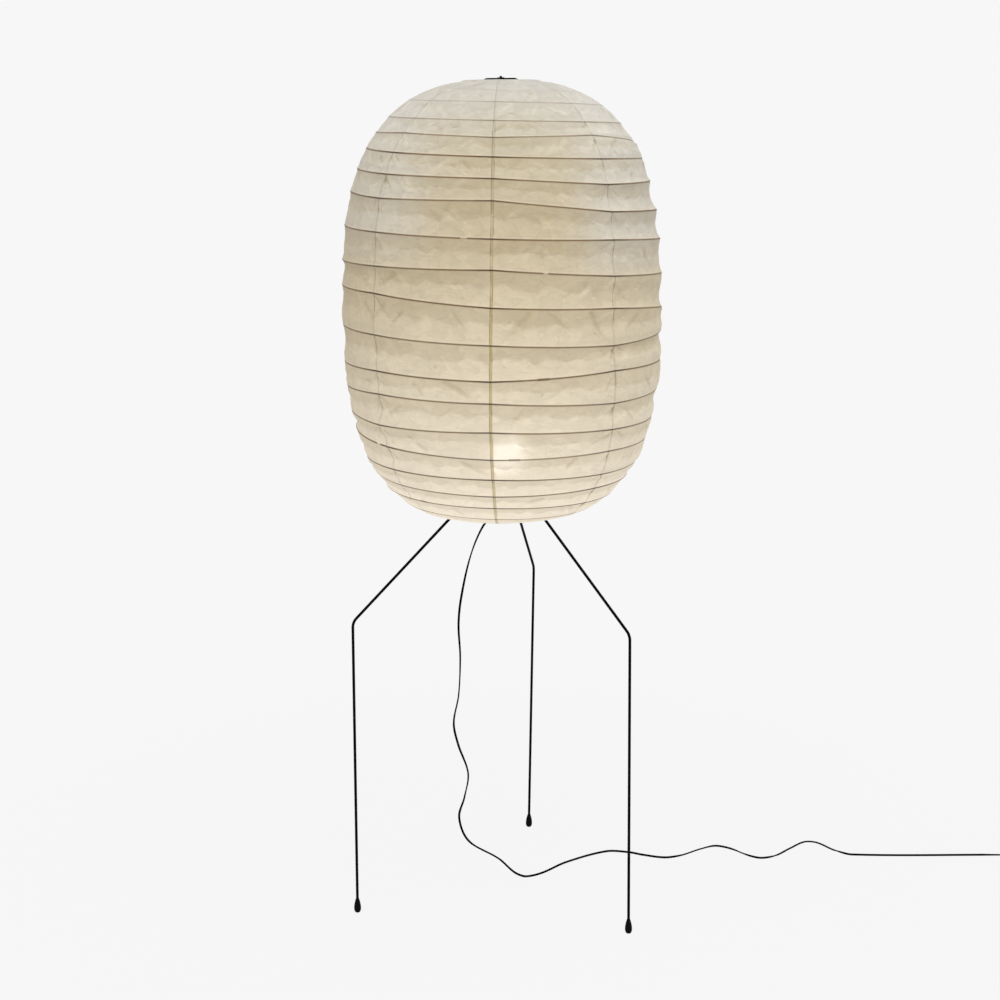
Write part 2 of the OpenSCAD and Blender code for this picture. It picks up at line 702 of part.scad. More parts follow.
module holder_nut(z) {
    grips = 12;
    color(plastic) difference() {
        ring(holder_r + nut_gap, nut_d / 2, nut_h, z);
        for (k = [0:grips - 1]) rotate([0, 0, k * 360 / grips])
            translate([nut_d / 2 + 1, 0, z - cut]) cylinder(r = 2, h = nut_h + 2 * cut, $fn = small);
    }
}
module holder_nut_lower() holder_nut(plate_z - nut_h);
module holder_nut_upper() holder_nut(plate_z + plate_t);

module holder_cap() {
    steps = 6;
    function dome(r0, r1, h) = [for (s = [0:steps])
        [r1 + (r0 - r1) * cos(90 * s / steps), -h * sin(90 * s / steps)]];
    outer = dome(holder_r, dome_low_r, dome_h);
    inner = dome(holder_r - dome_t, dome_low_r - dome_t, dome_h - dome_t);
    color(plastic) translate([0, 0, holder_z0]) difference() {
        rotate_extrude($fn = fine) polygon(concat([[0, 0]], outer, [[0, -dome_h]]));
        translate([0, 0, 0.001]) rotate_extrude($fn = fine)
            polygon(concat([[0, cut], [holder_r - dome_t, cut]], inner, [[0, dome_t - dome_h]]));
        translate([0, 0, -dome_h - cut])
            cylinder(r = grip_r + slip_gap, h = dome_t + 2 * cut, $fn = fine);
    }
}

module holder_insert() {
    color("ivory") difference() {
        translate([0, 0, insert_z]) cylinder(r = holder_bore_r - slip_gap, h = insert_h, $fn = fine);
        for (x = [-1, 1]) translate([x * terminal_x, 0, insert_z - cut])
            cylinder(r = 1.5 + slip_gap, h = 4 + cut, $fn = small);
    }
}

module screw_shell() {
    z = insert_z + insert_h;
    color(brass) ring(shell_r, shell_r + shell_t, holder_z1 - 3 - z, z);
}

module centre_contact() {
    z = insert_z + insert_h;
    color(brass) {
        translate([0, 0, z]) cylinder(r = 3, h = contact_z - seat_gap - z, $fn = small);
        translate([-6, -2, z]) cube([12, 4, 0.8]);
    }
}

module terminal_screws() {
    color(brass) for (x = [-1, 1]) translate([x * terminal_x, 0, insert_z]) {
        translate([0, 0, -2.4]) cylinder(r = 2.6, h = 2.4, $fn = small);
        cylinder(r = 1.5, h = 3.6, $fn = small);
    }
}

module holder_leads() {
    from = [1.5, cord_top + 1];
    to = [terminal_x - 1, insert_z - 3.4];
    run = to - from;
    color(metal) for (side = [0, 1]) mirror([side, 0, 0])
        translate([from[0], 0, from[1]]) rotate([0, atan2(run[0], run[1]), 0])
            cylinder(r = 0.7, h = norm(run) - 0.3, $fn = small);
}

module cord_grip() {
    color(plastic) difference() {
        union() {
            translate([0, 0, grip_z]) cylinder(r = grip_r, h = grip_top - grip_z, $fn = fine);
            translate([0, 0, grip_z]) cylinder(r1 = grip_r + 1, r2 = grip_nut_r, h = 3, $fn = fine);
            translate([0, 0, grip_z + 3])
                cylinder(r = grip_nut_r, h = dome_z - grip_z - 3 - 0.1, $fn = fine);
        }
        translate([0, 0, grip_z - cut])
            cylinder(r = grip_bore_r, h = grip_top - grip_z + 2 * cut, $fn = fine);
    }
}

// ===== Bulb =====

// outline of the glass for a globe radius and a neck radius
function glass_outline(r, neck) = let (
        z = cap_z1 + 2 - glow_h, d = norm([neck, z]),
        touch = atan2(z, neck) + acos(r / d), steps = 14
    ) concat(
        [for (s = [0:steps]) let (a = 90 + (touch - 90) * s / steps) [r * cos(a), glow_h + r * sin(a)]],
        [[neck, cap_z1 + 2]]
    );

module bulb_glass() {
    inner_neck = neck_r - glass_t;
    color("white", 0.7) rotate_extrude($fn = fine) difference() {
        polygon(concat(glass_outline(bulb_r, neck_r), [[neck_r, neck_z], [0, neck_z]]));
        polygon(concat(glass_outline(bulb_r - glass_t, inner_neck),
                       [[inner_neck, neck_z - cut], [0, neck_z - cut]]));
    }
}

module bulb_cap() {
    color(metal) difference() {
        translate([0, 0, cap_z0]) cylinder(r = cap_r, h = cap_z1 - cap_z0, $fn = fine);
        translate([0, 0, cap_z0 + cap_skin])
            cylinder(r = cap_r - cap_skin, h = cap_z1 - cap_z0, $fn = fine);
    }
}

module bulb_insulator() {
    color(plastic) translate([0, 0, contact_z + bead_h])
        cylinder(r1 = 5.5, r2 = cap_r - 1, h = insulator_h, $fn = fine);
}

module bulb_contact() {
    color(metal) translate([0, 0, contact_z])
        cylinder(r1 = 3.4, r2 = 4.6, h = bead_h, $fn = fine);
}

stem_top = glow_h - 12;

module bulb_stem() {
    color("white", 0.6) {
        translate([0, 0, stem_z]) cylinder(r = neck_r, h = neck_z - stem_z, $fn = fine);
        translate([0, 0, neck_z]) cylinder(r1 = 7, r2 = 3, h = 8, $fn = fine);
        translate([0, 0, neck_z + 8]) cylinder(r = 3, h = stem_top - neck_z - 8, $fn = fine);
    }
}

module bulb_filament() {
    wire = 0.5;
    color(metal) {
        for (side = [0, 1]) mirror([side, 0, 0]) translate([1.5, 0, stem_top + wire])
            rotate([0, 35, 0]) cylinder(r = wire, h = 16, $fn = small);
        translate([-11, 0, stem_top + 13]) rotate([0, 90, 0]) cylinder(r = 0.9, h = 22, $fn = small);
    }
}

// ===== Cord, switch, coil and plug =====

module cord_run() color(cord_black) tube(cord_rings(smooth(ROUTE, 2, cord_rest), 8), 8);
module cord_lead() color(cord_black) tube(cord_rings(LEAD, 8), 8);
module cord_end() color(cord_black) tube(cord_rings(END_ROUTE, 8), 8);
module cord_coil() color(cord_black) tube(cord_rings(coil_line, 6), 6);

module coil_tie() {
    inner_w = cord_w + 1.8;
    inner_h = coil_low + coil_climb * 2.05 + cord_t / 2 + 0.4 - tie_t;
    tie_w = 8;
    color(plastic) translate([coil_x, coil_y, 0]) rotate([0, 0, 75])
        translate([coil_r, 0, 0]) difference() {
            translate([-inner_w / 2 - tie_t, -tie_w / 2, 0])
                cube([inner_w + 2 * tie_t, tie_w, inner_h + 2 * tie_t]);
            translate([-inner_w / 2, -tie_w / 2 - cut, tie_t])
                cube([inner_w, tie_w + 2 * cut, inner_h]);
        }
}

module on_switch() translate([switch_start[0] + switch_l / 2, switch_start[1], 0]) children();

module switch_base() {
    color(plastic) on_switch() difference() {
        rounded_plate(switch_l, switch_w, switch_split, 6);
        translate([0, 0, switch_shell])
            rounded_plate(switch_l - 2 * switch_shell, switch_w - 2 * switch_shell, switch_h, 4);
        for (s = [-1, 1]) translate([s * case_screw_x, s * case_screw_y, -cut])
            cylinder(r = case_screw_r + slip_gap, h = switch_h, $fn = small);
        for (s = [-1, 1]) translate([s * case_screw_x, s * case_screw_y, -cut])
            cylinder(r = 2.6, h = cut + 1.2, $fn = small);
    }
}

module switch_cover() {
    color(plastic) on_switch() difference() {
        union() {
            difference() {
                union() {
                    translate([0, 0, switch_split])
                        rounded_plate(switch_l, switch_w, switch_h - switch_split - 2, 6);
                    translate([0, 0, switch_h - 2])
                        rounded_plate(switch_l - 3, switch_w - 3, 2, 5);
                }
                translate([0, 0, switch_split - cut])
                    rounded_plate(switch_l - 2 * switch_shell, switch_w - 2 * switch_shell,
                                  switch_h - switch_split - switch_shell + cut, 4);
            }
            for (y = [-1, 1])
                translate([-3.5, y > 0 ? window_w / 2 : -window_w / 2 - cheek_w, switch_split + 0.5])
                    cube([7, cheek_w, switch_h - switch_split - switch_shell]);
            for (s = [-1, 1]) translate([s * case_screw_x, s * case_screw_y, switch_split + 0.1])
                cylinder(r = 3, h = switch_h - switch_split - switch_shell, $fn = small);
        }
        translate([-window_l / 2, -window_w / 2, switch_h - 3 * switch_shell])
            cube([window_l, window_w, switch_h]);
        translate([0, -switch_w / 4 - cheek_w, pivot_z]) rotate([-90, 0, 0])
            cylinder(r = pivot_r + 0.05, h = switch_w / 2 + 2 * cheek_w, $fn = small);
        for (s = [-1, 1]) translate([s * case_screw_x, s * case_screw_y, switch_split - cut])
            cylinder(r = case_screw_r + slip_gap, h = 5 + cut, $fn = small);
    }
}

pivot_len = window_w + 2 * cheek_w - 0.4;

module switch_pivot() {
    color(metal) on_switch() translate([0, -pivot_len / 2, pivot_z]) rotate([-90, 0, 0])
        cylinder(r = pivot_r, h = pivot_len, $fn = small);
}

module switch_rocker() {
    half = rocker_l / 2;
    crown = switch_h - pivot_z + 1.6;
    tip = switch_h - pivot_z - 0.4;
    color(plastic) on_switch() translate([0, 0, pivot_z]) rotate([0, -rocker_swing / 2, 0])
        difference() {
            translate([0, rocker_w / 2, 0]) rotate([90, 0, 0]) linear_extrude(rocker_w)
                polygon([[-half, tip], [-half * 0.9, tip - 3], [-3, -2.4], [3, -2.4],
                         [half * 0.9, tip - 3], [half, tip], [half * 0.55, crown - 1.2],
                         [0, crown - 1.8], [-half * 0.55, crown - 1.2]]);
            translate([0, -rocker_w / 2 - cut, 0]) rotate([-90, 0, 0])
                cylinder(r = pivot_r + run_gap, h = rocker_w + 2 * cut, $fn = small);
        }
}

module switch_screws() {
    color(metal) on_switch() for (s = [-1, 1])
        translate([s * case_screw_x, s * case_screw_y, 0.2]) {
            cylinder(r = 2.4, h = 0.9, $fn = small);
            cylinder(r = case_screw_r, h = 12, $fn = small);
        }
}

module switch_contacts() {
    color(brass) on_switch() for (s = [-1, 1])
        translate([s * 14 - 5, -3, switch_shell]) cube([10, 6, 1.2]);
}

module relief(length) {
    difference() {
        cylinder(r1 = relief_r, r2 = relief_tip_r, h = length, $fn = fine);
        translate([0, 0, -cut]) cylinder(r = relief_bore_r, h = length + 2 * cut, $fn = fine);
    }
}

module switch_reliefs() {
    color(plastic) {
        translate(switch_start) rotate([0, -90, 0]) relief(relief_len);
        translate(switch_end) rotate([0, 90, 0]) relief(relief_len);
    }
}

module on_plug() translate([coil_x + coil_r, plug_y, plug_t / 2]) rotate([0, 0, -90]) children();

module plug_body() {
    grip_depth = 2;
    color(plastic) on_plug() difference() {
        rotate([90, 0, 90]) translate([0, 0, 0]) rounded_plate(plug_w, plug_t, plug_l, 4);
        for (s = [-1, 1]) translate([plug_l * 0.36, s * (plug_w / 2 + 9 - grip_depth), -plug_t])
            cylinder(r = 9, h = 2 * plug_t, $fn = fine);
    }
}

module plug_blades() {
    color(brass) on_plug() for (s = [-1, 1])
        translate([plug_l, s * 6.35 - 0.75, -3.15]) cube([17, 1.5, 6.3]);
}

module plug_relief() {
    color(plastic) on_plug() rotate([0, -90, 0]) relief(relief_len + 6);
}

// ===== The nodes =====

paper_gore(1);  // paper_gore_1
paper_gore(2);  // paper_gore_2
paper_gore(3);  // paper_gore_3
paper_gore(4);  // paper_gore_4
paper_gore(5);  // paper_gore_5
paper_gore(6);  // paper_gore_6
paper_gore(7);  // paper_gore_7
paper_gore(8);  // paper_gore_8
bamboo_rib();
top_ring();
bottom_ring();
ring_clips();
harp();
finial();
leg_hub();
leg(0);  // leg_back
leg(1);  // leg_left
leg(2);  // leg_right
foot_cap(0);  // foot_cap_back
foot_cap(1);  // foot_cap_left
foot_cap(2);  // foot_cap_right
leg_screw(0);  // leg_screw_back
leg_screw(1);  // leg_screw_left
leg_screw(2);  // leg_screw_right
holder_shell();
holder_nut_lower();
holder_nut_upper();
holder_cap();
holder_insert();
screw_shell();
centre_contact();
terminal_screws();
holder_leads();
cord_grip();
bulb_glass();
bulb_cap();
bulb_insulator();
bulb_contact();
bulb_stem();
bulb_filament();
cord_run();
switch_base();
switch_cover();
switch_rocker();
switch_pivot();
switch_screws();
switch_contacts();
switch_reliefs();
cord_lead();
cord_coil();
coil_tie();
cord_end();
plug_body();
plug_blades();
plug_relief();
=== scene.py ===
"""Looks of the paper lantern floor lamp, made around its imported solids.

Lengths are metres in the frame of the solids: +X right, +Y away, +Z up, with
the origin on the floor under the lamp's axis.
"""
import json
import math
import random

import bpy
import numpy as np
from mathutils import Matrix, Vector


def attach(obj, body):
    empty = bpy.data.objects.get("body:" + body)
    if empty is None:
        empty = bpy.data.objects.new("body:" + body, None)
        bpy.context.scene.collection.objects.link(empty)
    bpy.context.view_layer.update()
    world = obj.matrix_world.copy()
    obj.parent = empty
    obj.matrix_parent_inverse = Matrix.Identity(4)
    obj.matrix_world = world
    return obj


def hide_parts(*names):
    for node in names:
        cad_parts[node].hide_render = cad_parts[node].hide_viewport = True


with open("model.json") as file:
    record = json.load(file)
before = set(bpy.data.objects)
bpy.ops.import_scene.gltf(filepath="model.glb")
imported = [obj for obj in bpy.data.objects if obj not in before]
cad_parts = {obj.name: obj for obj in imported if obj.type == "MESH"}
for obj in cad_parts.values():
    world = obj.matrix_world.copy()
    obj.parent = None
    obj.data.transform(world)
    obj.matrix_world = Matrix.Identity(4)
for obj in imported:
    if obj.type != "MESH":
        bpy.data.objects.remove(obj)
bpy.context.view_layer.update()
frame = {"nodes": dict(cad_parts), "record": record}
MM = 0.001


# ---------------------------------------------------------------- camera

CAMERA_PLACE = (-0.0069, -3.868, 1.848)
CAMERA_PITCH = 12.696      # degrees below level
CAMERA_ROLL = -0.315       # degrees about its own line of sight
CAMERA_LENS = 61.2         # on a 36 mm wide frame


def place_camera():
    """The photograph's viewpoint: level distance, height, tilt and a slight roll."""
    data = bpy.data.cameras.new("camera")
    data.lens = CAMERA_LENS
    data.sensor_width = 36
    data.clip_end = 60
    camera = bpy.data.objects.new("camera", data)
    camera.location = CAMERA_PLACE
    tilt = Matrix.Rotation(math.radians(90 - CAMERA_PITCH), 4, "X")
    roll = Matrix.Rotation(math.radians(CAMERA_ROLL), 4, "Z")
    camera.rotation_euler = (tilt @ roll).to_euler()
    bpy.context.scene.collection.objects.link(camera)
    bpy.context.scene.camera = camera


# ------------------------------------------------------------ node helpers

def srgb(r, g, b):
    """A colour given as it looks on a screen, 0 to 255, as linear light."""
    def linear(v):
        v /= 255
        return v / 12.92 if v <= 0.04045 else ((v + 0.055) / 1.055) ** 2.4
    return (linear(r), linear(g), linear(b), 1)


def add(tree, kind, inputs=None, **settings):
    """A node of that kind, with settings and with values or links put in."""
    made = tree.nodes.new(kind)
    for name, value in settings.items():
        setattr(made, name, value)
    for name, value in (inputs or {}).items():
        put(tree, made.inputs[name], value)
    return made


def put(tree, socket, value):
    """A socket, a node's first output or a plain value put into a socket."""
    if isinstance(value, bpy.types.NodeSocket):
        tree.links.new(value, socket)
    elif isinstance(value, bpy.types.Node):
        tree.links.new(value.outputs[0], socket)
    else:
        socket.default_value = value


def math_node(tree, operation, a, b=None, clamp=False):
    """One sum, as the socket of its result."""
    made = add(tree, "ShaderNodeMath", operation=operation, use_clamp=clamp)
    put(tree, made.inputs[0], a)
    if b is not None:
        put(tree, made.inputs[1], b)
    return made.outputs[0]


def mixed(tree, share, a, b, blend="MIX"):
    """Colour a going over to colour b as share goes from 0 to 1."""
    made = add(tree, "ShaderNodeMix", data_type="RGBA", blend_type=blend)
    put(tree, made.inputs["Factor"], share)
    put(tree, made.inputs[6], a)
    put(tree, made.inputs[7], b)
    return made.outputs[2]


def times(tree, first, *others):
    """The product of several values."""
    for other in others:
        first = math_node(tree, "MULTIPLY", first, other)
    return first


def vector_math(tree, operation, a, b=None, scale=None):
    """One sum with vectors, as the socket of its result: a vector or a number."""
    made = add(tree, "ShaderNodeVectorMath", operation=operation)
    put(tree, made.inputs[0], a)
    if b is not None:
        put(tree, made.inputs[1], b)
    if scale is not None:
        put(tree, made.inputs["Scale"], scale)
    return made.outputs["Value" if operation in ("LENGTH", "DISTANCE", "DOT_PRODUCT") else 0]


def ranged(tree, value, low, high, to_low=0.0, to_high=1.0, smooth=True):
    """A value brought from low..high to to_low..to_high, and held at the ends."""
    made = add(tree, "ShaderNodeMapRange",
               interpolation_type="SMOOTHSTEP" if smooth else "LINEAR")
    put(tree, made.inputs["Value"], value)
    for name, v in (("From Min", low), ("From Max", high),
                    ("To Min", to_low), ("To Max", to_high)):
        put(tree, made.inputs[name], v)
    return made.outputs["Result"]


def noise_over(tree, place, scale, detail, roughness=None, distortion=None):
    """Smooth noise over a surface, mostly from 0.3 to 0.7."""
    made = add(tree, "ShaderNodeTexNoise", {"Vector": place, "Scale": scale, "Detail": detail})
    if roughness is not None:
        made.inputs["Roughness"].default_value = roughness
    if distortion is not None:
        made.inputs["Distortion"].default_value = distortion
    return made.outputs[0]


def swayed(tree, place, scale, detail, reach):
    """Places moved about by slow noise, so that straight lines wander."""
    sway = add(tree, "ShaderNodeTexNoise", {"Vector": place, "Scale": scale, "Detail": detail})
    bend = add(tree, "ShaderNodeVectorMath", operation="MULTIPLY_ADD")
    put(tree, bend.inputs[0], sway.outputs["Color"])
    bend.inputs[1].default_value = (reach, reach, reach)
    put(tree, bend.inputs[2], place)
    return bend.outputs[0]


def group(name, inputs, outputs):
    """An empty effect with named inputs and outputs: (tree, ins, outs)."""
    tree = bpy.data.node_groups.new(name, "ShaderNodeTree")
    kinds = {"f": "NodeSocketFloat", "c": "NodeSocketColor", "v": "NodeSocketVector"}
    for socket, kind, value in inputs:
        made = tree.interface.new_socket(socket, in_out="INPUT", socket_type=kinds[kind])
        if value is not None:
            made.default_value = value
    for socket, kind in outputs:
        tree.interface.new_socket(socket, in_out="OUTPUT", socket_type=kinds[kind])
    ins = tree.nodes.new("NodeGroupInput").outputs
    outs = tree.nodes.new("NodeGroupOutput").inputs
    return tree, ins, outs


def place_group(tree, which, **inputs):
    """A shared effect put into a material; an input's blanks are written as _."""
    made = tree.nodes.new("ShaderNodeGroup")
    made.node_tree = which
    for name, value in inputs.items():
        put(tree, made.inputs[name.replace("_", " ")], value)
    return made.outputs


def scaled_place(tree, place, factor, stretch=(1, 1, 1)):
    """Places scaled, so that a pattern comes out finer along the stretched axes."""
    made = add(tree, "ShaderNodeMapping", {"Vector": place})
    made.inputs["Scale"].default_value = [factor * s for s in stretch]
    return made.outputs["Vector"]


# ------------------------------------------------------- shared effects

def make_mottle():
    """Slow and fast changes of tone over a surface."""
    tree, ins, outs = group(
        "mottle",
        [("Place", "v", None), ("Size", "f", 0.02), ("Amount", "f", 0.1),
         ("Colour", "c", (0.5, 0.5, 0.5, 1))],
        [("Colour", "c"), ("Height", "f")])
    spread = vector_math(tree, "SCALE", ins["Place"],
                         scale=math_node(tree, "DIVIDE", 1.0, ins["Size"]))
    cloud = noise_over(tree, spread, 1.0, 5.0, roughness=0.6)
    swing = times(tree, math_node(tree, "SUBTRACT", cloud, 0.5), ins["Amount"], 2.0)
    tone = vector_math(tree, "SCALE", ins["Colour"],
                       scale=math_node(tree, "ADD", swing, 1.0))
    tree.links.new(tone, outs["Colour"])
    tree.links.new(cloud, outs["Height"])
    return tree


def make_streaks():
    """Fine lines along one axis, as of drawing, brushing or splitting."""
    tree, ins, outs = group(
        "streaks",
        [("Place", "v", None), ("Fine", "f", 900.0), ("Long", "f", 20.0)],
        [("Value", "f")])
    apart = add(tree, "ShaderNodeSeparateXYZ", {"Vector": ins["Place"]})
    joined = add(tree, "ShaderNodeCombineXYZ")
    for axis, fineness in enumerate(("Fine", "Fine", "Long")):
        tree.links.new(times(tree, apart.outputs[axis], ins[fineness]), joined.inputs[axis])
    lines = noise_over(tree, joined.outputs[0], 1.0, 3.0, roughness=0.55)
    tree.links.new(lines, outs["Value"])
    return tree


def make_dust():
    """A thin pale film on what faces up, broken up by noise."""
    tree, ins, outs = group(
        "dust", [("Place", "v", None), ("Amount", "f", 0.2)], [("Mask", "f")])
    geometry = add(tree, "ShaderNodeNewGeometry")
    up = add(tree, "ShaderNodeSeparateXYZ", {"Vector": geometry.outputs["Normal"]})
    facing = ranged(tree, up.outputs[2], 0.15, 1.0)
    broken = ranged(tree, noise_over(tree, ins["Place"], 140.0, 4.0), 0.35, 0.75)
    tree.links.new(times(tree, facing, broken, ins["Amount"]), outs["Mask"])
    return tree


def make_crumple():
    """Crushed paper: flat facets drawn out sideways, each tilted its own way."""
    tree, ins, outs = group(
        "crumple",
        [("Place", "v", None), ("Cells", "f", 30.0), ("Crease Width", "f", 0.04)],
        [("Crease", "f"), ("Facet", "f")])
    wandering = swayed(tree, ins["Place"], 11.0, 3.0, 0.055)
    spread = vector_math(tree, "SCALE", scaled_place(tree, wandering, 1.0, (1, 1, 1.7)),
                         scale=ins["Cells"])
    cells = add(tree, "ShaderNodeTexVoronoi", {"Vector": spread, "Scale": 1.0})
    within = vector_math(tree, "SUBTRACT", spread, cells.outputs["Position"])
    tilt = vector_math(tree, "SUBTRACT", cells.outputs["Color"], (0.5, 0.5, 0.5))
    edges = add(tree, "ShaderNodeTexVoronoi", {"Vector": spread, "Scale": 1.0},
                feature="DISTANCE_TO_EDGE")
    near = math_node(tree, "DIVIDE", edges.outputs["Distance"], ins["Crease Width"])
    line = math_node(tree, "SUBTRACT", 1.0, near, clamp=True)
    faint = ranged(tree, noise_over(tree, ins["Place"], 21.0, 2.0), 0.42, 0.66)
    tree.links.new(times(tree, line, faint), outs["Crease"])
    tree.links.new(vector_math(tree, "DOT_PRODUCT", within, tilt), outs["Facet"])
    return tree


MOTTLE = make_mottle()
STREAKS = make_streaks()
DUST = make_dust()
CRUMPLE = make_crumple()
DUST_COLOUR = srgb(150, 146, 138)


# ------------------------------------------------------------- materials

def start_material(name, roughness=0.5, metallic=0.0, specular=0.5):
    """(material, tree, shader, place) with plain values on the shader."""
    material = bpy.data.materials.new(name)
    material.use_nodes = True
    tree = material.node_tree
    shader = tree.nodes["Principled BSDF"]
    shader.inputs["Roughness"].default_value = roughness
    shader.inputs["Metallic"].default_value = metallic
    shader.inputs["Specular IOR Level"].default_value = specular
    place = add(tree, "ShaderNodeTexCoord").outputs["Object"]
    return material, tree, shader, place


def bumped(tree, shader, height, distance, strength=1.0):
    """Relief on the surface, as deep as distance in metres."""
    made = add(tree, "ShaderNodeBump", {"Height": height, "Distance": distance,
                                        "Strength": strength})
    tree.links.new(made.outputs[0], shader.inputs["Normal"])


def dusty_tone(tree, shader, place, colour, size, amount, dust_amount):
    """The finish's colour with slow changes of tone, under a little dust."""
    tone = place_group(tree, MOTTLE, Place=place, Size=size, Amount=amount, Colour=colour)
    dust = place_group(tree, DUST, Place=place, Amount=dust_amount)
    put(tree, shader.inputs["Base Color"],
        mixed(tree, dust["Mask"], tone["Colour"], DUST_COLOUR))


def worn_roughness(tree, shader, pattern, roughness, less, more):
    """Smoother and rougher by a pattern that runs about from 0.3 to 0.7."""
    put(tree, shader.inputs["Roughness"],
        ranged(tree, pattern, 0.3, 0.7, roughness - less, roughness + more))


def powder_coat(name, colour, roughness=0.42):
    """Satin powder coat: fine orange peel, a little dust and slight wear."""
    material, tree, shader, place = start_material(name, roughness, 0, 0.02)
    dusty_tone(tree, shader, place, colour, 0.03, 0.12, 0.03)
    worn_roughness(tree, shader, noise_over(tree, place, 60.0, 3.0), roughness, 0.06, 0.08)
    bumped(tree, shader, noise_over(tree, place, 1600.0, 2.0), 0.00012, 0.5)
    return material


def moulded(name, colour, roughness=0.5, grain=1400.0, depth=0.00006, dust_amount=0.03,
            shine=0.12):
    """Moulded plastic or rubber with a fine spark-eroded grain."""
    material, tree, shader, place = start_material(name, roughness, 0, shine)
    dusty_tone(tree, shader, place, colour, 0.012, 0.1, dust_amount)
    worn_roughness(tree, shader, noise_over(tree, place, 90.0, 3.0), roughness, 0.07, 0.07)
    pits = add(tree, "ShaderNodeTexVoronoi", {"Vector": place, "Scale": grain})
    bumped(tree, shader, pits.outputs["Distance"], depth, 0.6)
    return material


def bright_metal(name, colour, roughness=0.3, tarnish=None):
    """Drawn or plated metal with fine streaks and a slight tarnish."""
    material, tree, shader, place = start_material(name, roughness, 1.0, 0.5)
    tone = place_group(tree, MOTTLE, Place=place, Size=0.01, Amount=0.12, Colour=colour)
    share = ranged(tree, noise_over(tree, place, 160.0, 4.0), 0.5, 0.8, 0.0, 0.35)
    put(tree, shader.inputs["Base Color"],
        mixed(tree, share, tone["Colour"], tarnish or [c * 0.45 for c in colour[:3]] + [1]))
    lines = place_group(tree, STREAKS, Place=place, Fine=1500.0, Long=30.0)
    worn_roughness(tree, shader, lines["Value"], roughness, 0.08, 0.12)
    bumped(tree, shader, lines["Value"], 0.00002, 0.5)
    return material


def ceramic(name, colour):
    """Glazed ceramic, faintly speckled."""
    material, tree, shader, place = start_material(name, 0.35, 0, 0.5)
    tone = place_group(tree, MOTTLE, Place=place, Size=0.006, Amount=0.06, Colour=colour)
    put(tree, shader.inputs["Base Color"], tone["Colour"])
    speck = noise_over(tree, place, 900.0, 3.0)
    worn_roughness(tree, shader, speck, 0.35, 0.07, 0.11)
    bumped(tree, shader, speck, 0.00003, 0.5)
    return material


def split_bamboo(name):
    """Split bamboo: pale skin, darker fibres along the strip."""
    material, tree, shader, place = start_material(name, 0.5, 0, 0.4)
    tone = place_group(tree, MOTTLE, Place=place, Size=0.05, Amount=0.22,
                       Colour=srgb(186, 158, 104))
    fibre = noise_over(tree, scaled_place(tree, place, 1.0, (60, 60, 2600)), 1.0, 4.0)
    share = ranged(tree, fibre, 0.42, 0.7, 0.0, 0.6)
    put(tree, shader.inputs["Base Color"], mixed(tree, share, tone["Colour"], srgb(122, 92, 48)))
    worn_roughness(tree, shader, fibre, 0.5, 0.08, 0.10)
    bumped(tree, shader, fibre, 0.00008, 0.6)
    return material


BULB_MIDDLE = (0.0, 0.0, 1.083)
SPOT_MIDDLE, SPOT_REACH = (0.008, -0.337, 1.146), (0.012, 0.070)
FRONT_SEAM = (-0.0215, -0.0175)     # where it runs past the bright spot, from +X
PAPER_HEIGHTS = (0.95, 1.935)       # from the shade's lower edge to its top
# the tones by height are the paper's colour with painted light: bulb light low down, studio light
# at the top
PAPER_TONES_WITH_PAINTED_LIGHT = [                     # share of that height, colour as on a screen
    (0.0, (221, 206, 183)), (0.12, (219, 205, 181)), (0.35, (213, 200, 174)),
    (0.55, (205, 191, 162)), (0.70, (194, 180, 151)), (0.84, (191, 181, 158)),
    (0.93, (189, 184, 172)), (1.0, (185, 182, 174))]
TOP_FADE = (1.90, 1.78)             # bands and seams fade out above the lower one


def painted_side_light(tree, across, height, colour):
    """Painted shade, darker and yellower at the left low down, and painted light, paler at both
    sides high up.
    """
    painted_left_shade = times(tree, ranged(tree, across, -0.23, -0.35, 0.0, 0.2),
                     ranged(tree, height, 1.80, 1.70))
    painted_left_light = times(tree, ranged(tree, across, -0.10, -0.24, 0.0, 0.45),
                      ranged(tree, height, 1.50, 1.64))
    painted_right_light = times(tree, ranged(tree, across, 0.10, 0.24, 0.0, 0.60),
                       ranged(tree, height, 1.46, 1.62))
    # painted shade at the left edge, then painted light at both edges high up
    colour = mixed(tree, painted_left_shade, colour, srgb(150, 120, 70))
    pale = math_node(tree, "ADD", painted_left_light, painted_right_light)
    return mixed(tree, pale, colour, srgb(216, 213, 206))


def paper_tone_with_painted_light(tree, place, across, height):
    """The paper's colour with painted light: whiter where it faces up to the studio lamps, warmer
    lower down where the bulb shines through.
    """
    ramp = add(tree, "ShaderNodeValToRGB",
               {"Fac": ranged(tree, height, *PAPER_HEIGHTS, smooth=False)})
    while len(ramp.color_ramp.elements) < len(PAPER_TONES_WITH_PAINTED_LIGHT):
        ramp.color_ramp.elements.new(0.5)
    for stop, (at, colour) in zip(ramp.color_ramp.elements, PAPER_TONES_WITH_PAINTED_LIGHT):
        stop.position = at
        stop.color = srgb(*colour)
    colour = painted_side_light(tree, across, height, ramp.outputs[0])
    for size, amount in ((0.09, 0.05), (0.006, 0.035)):
        colour = place_group(tree, MOTTLE, Place=place, Size=size, Amount=amount,
                             Colour=colour)["Colour"]
    return colour


def paper_fibres(tree, place):
    """Where long fibres show, laid every way."""
    fibres = add(tree, "ShaderNodeTexVoronoi",
                 {"Vector": swayed(tree, place, 26.0, 2.0, 0.03), "Scale": 95.0},
                 feature="DISTANCE_TO_EDGE")
    line = ranged(tree, fibres.outputs["Distance"], 0.0, 0.035, 1.0, 0.0)
    return times(tree, line, ranged(tree, noise_over(tree, place, 45.0, 2.0), 0.45, 0.65))


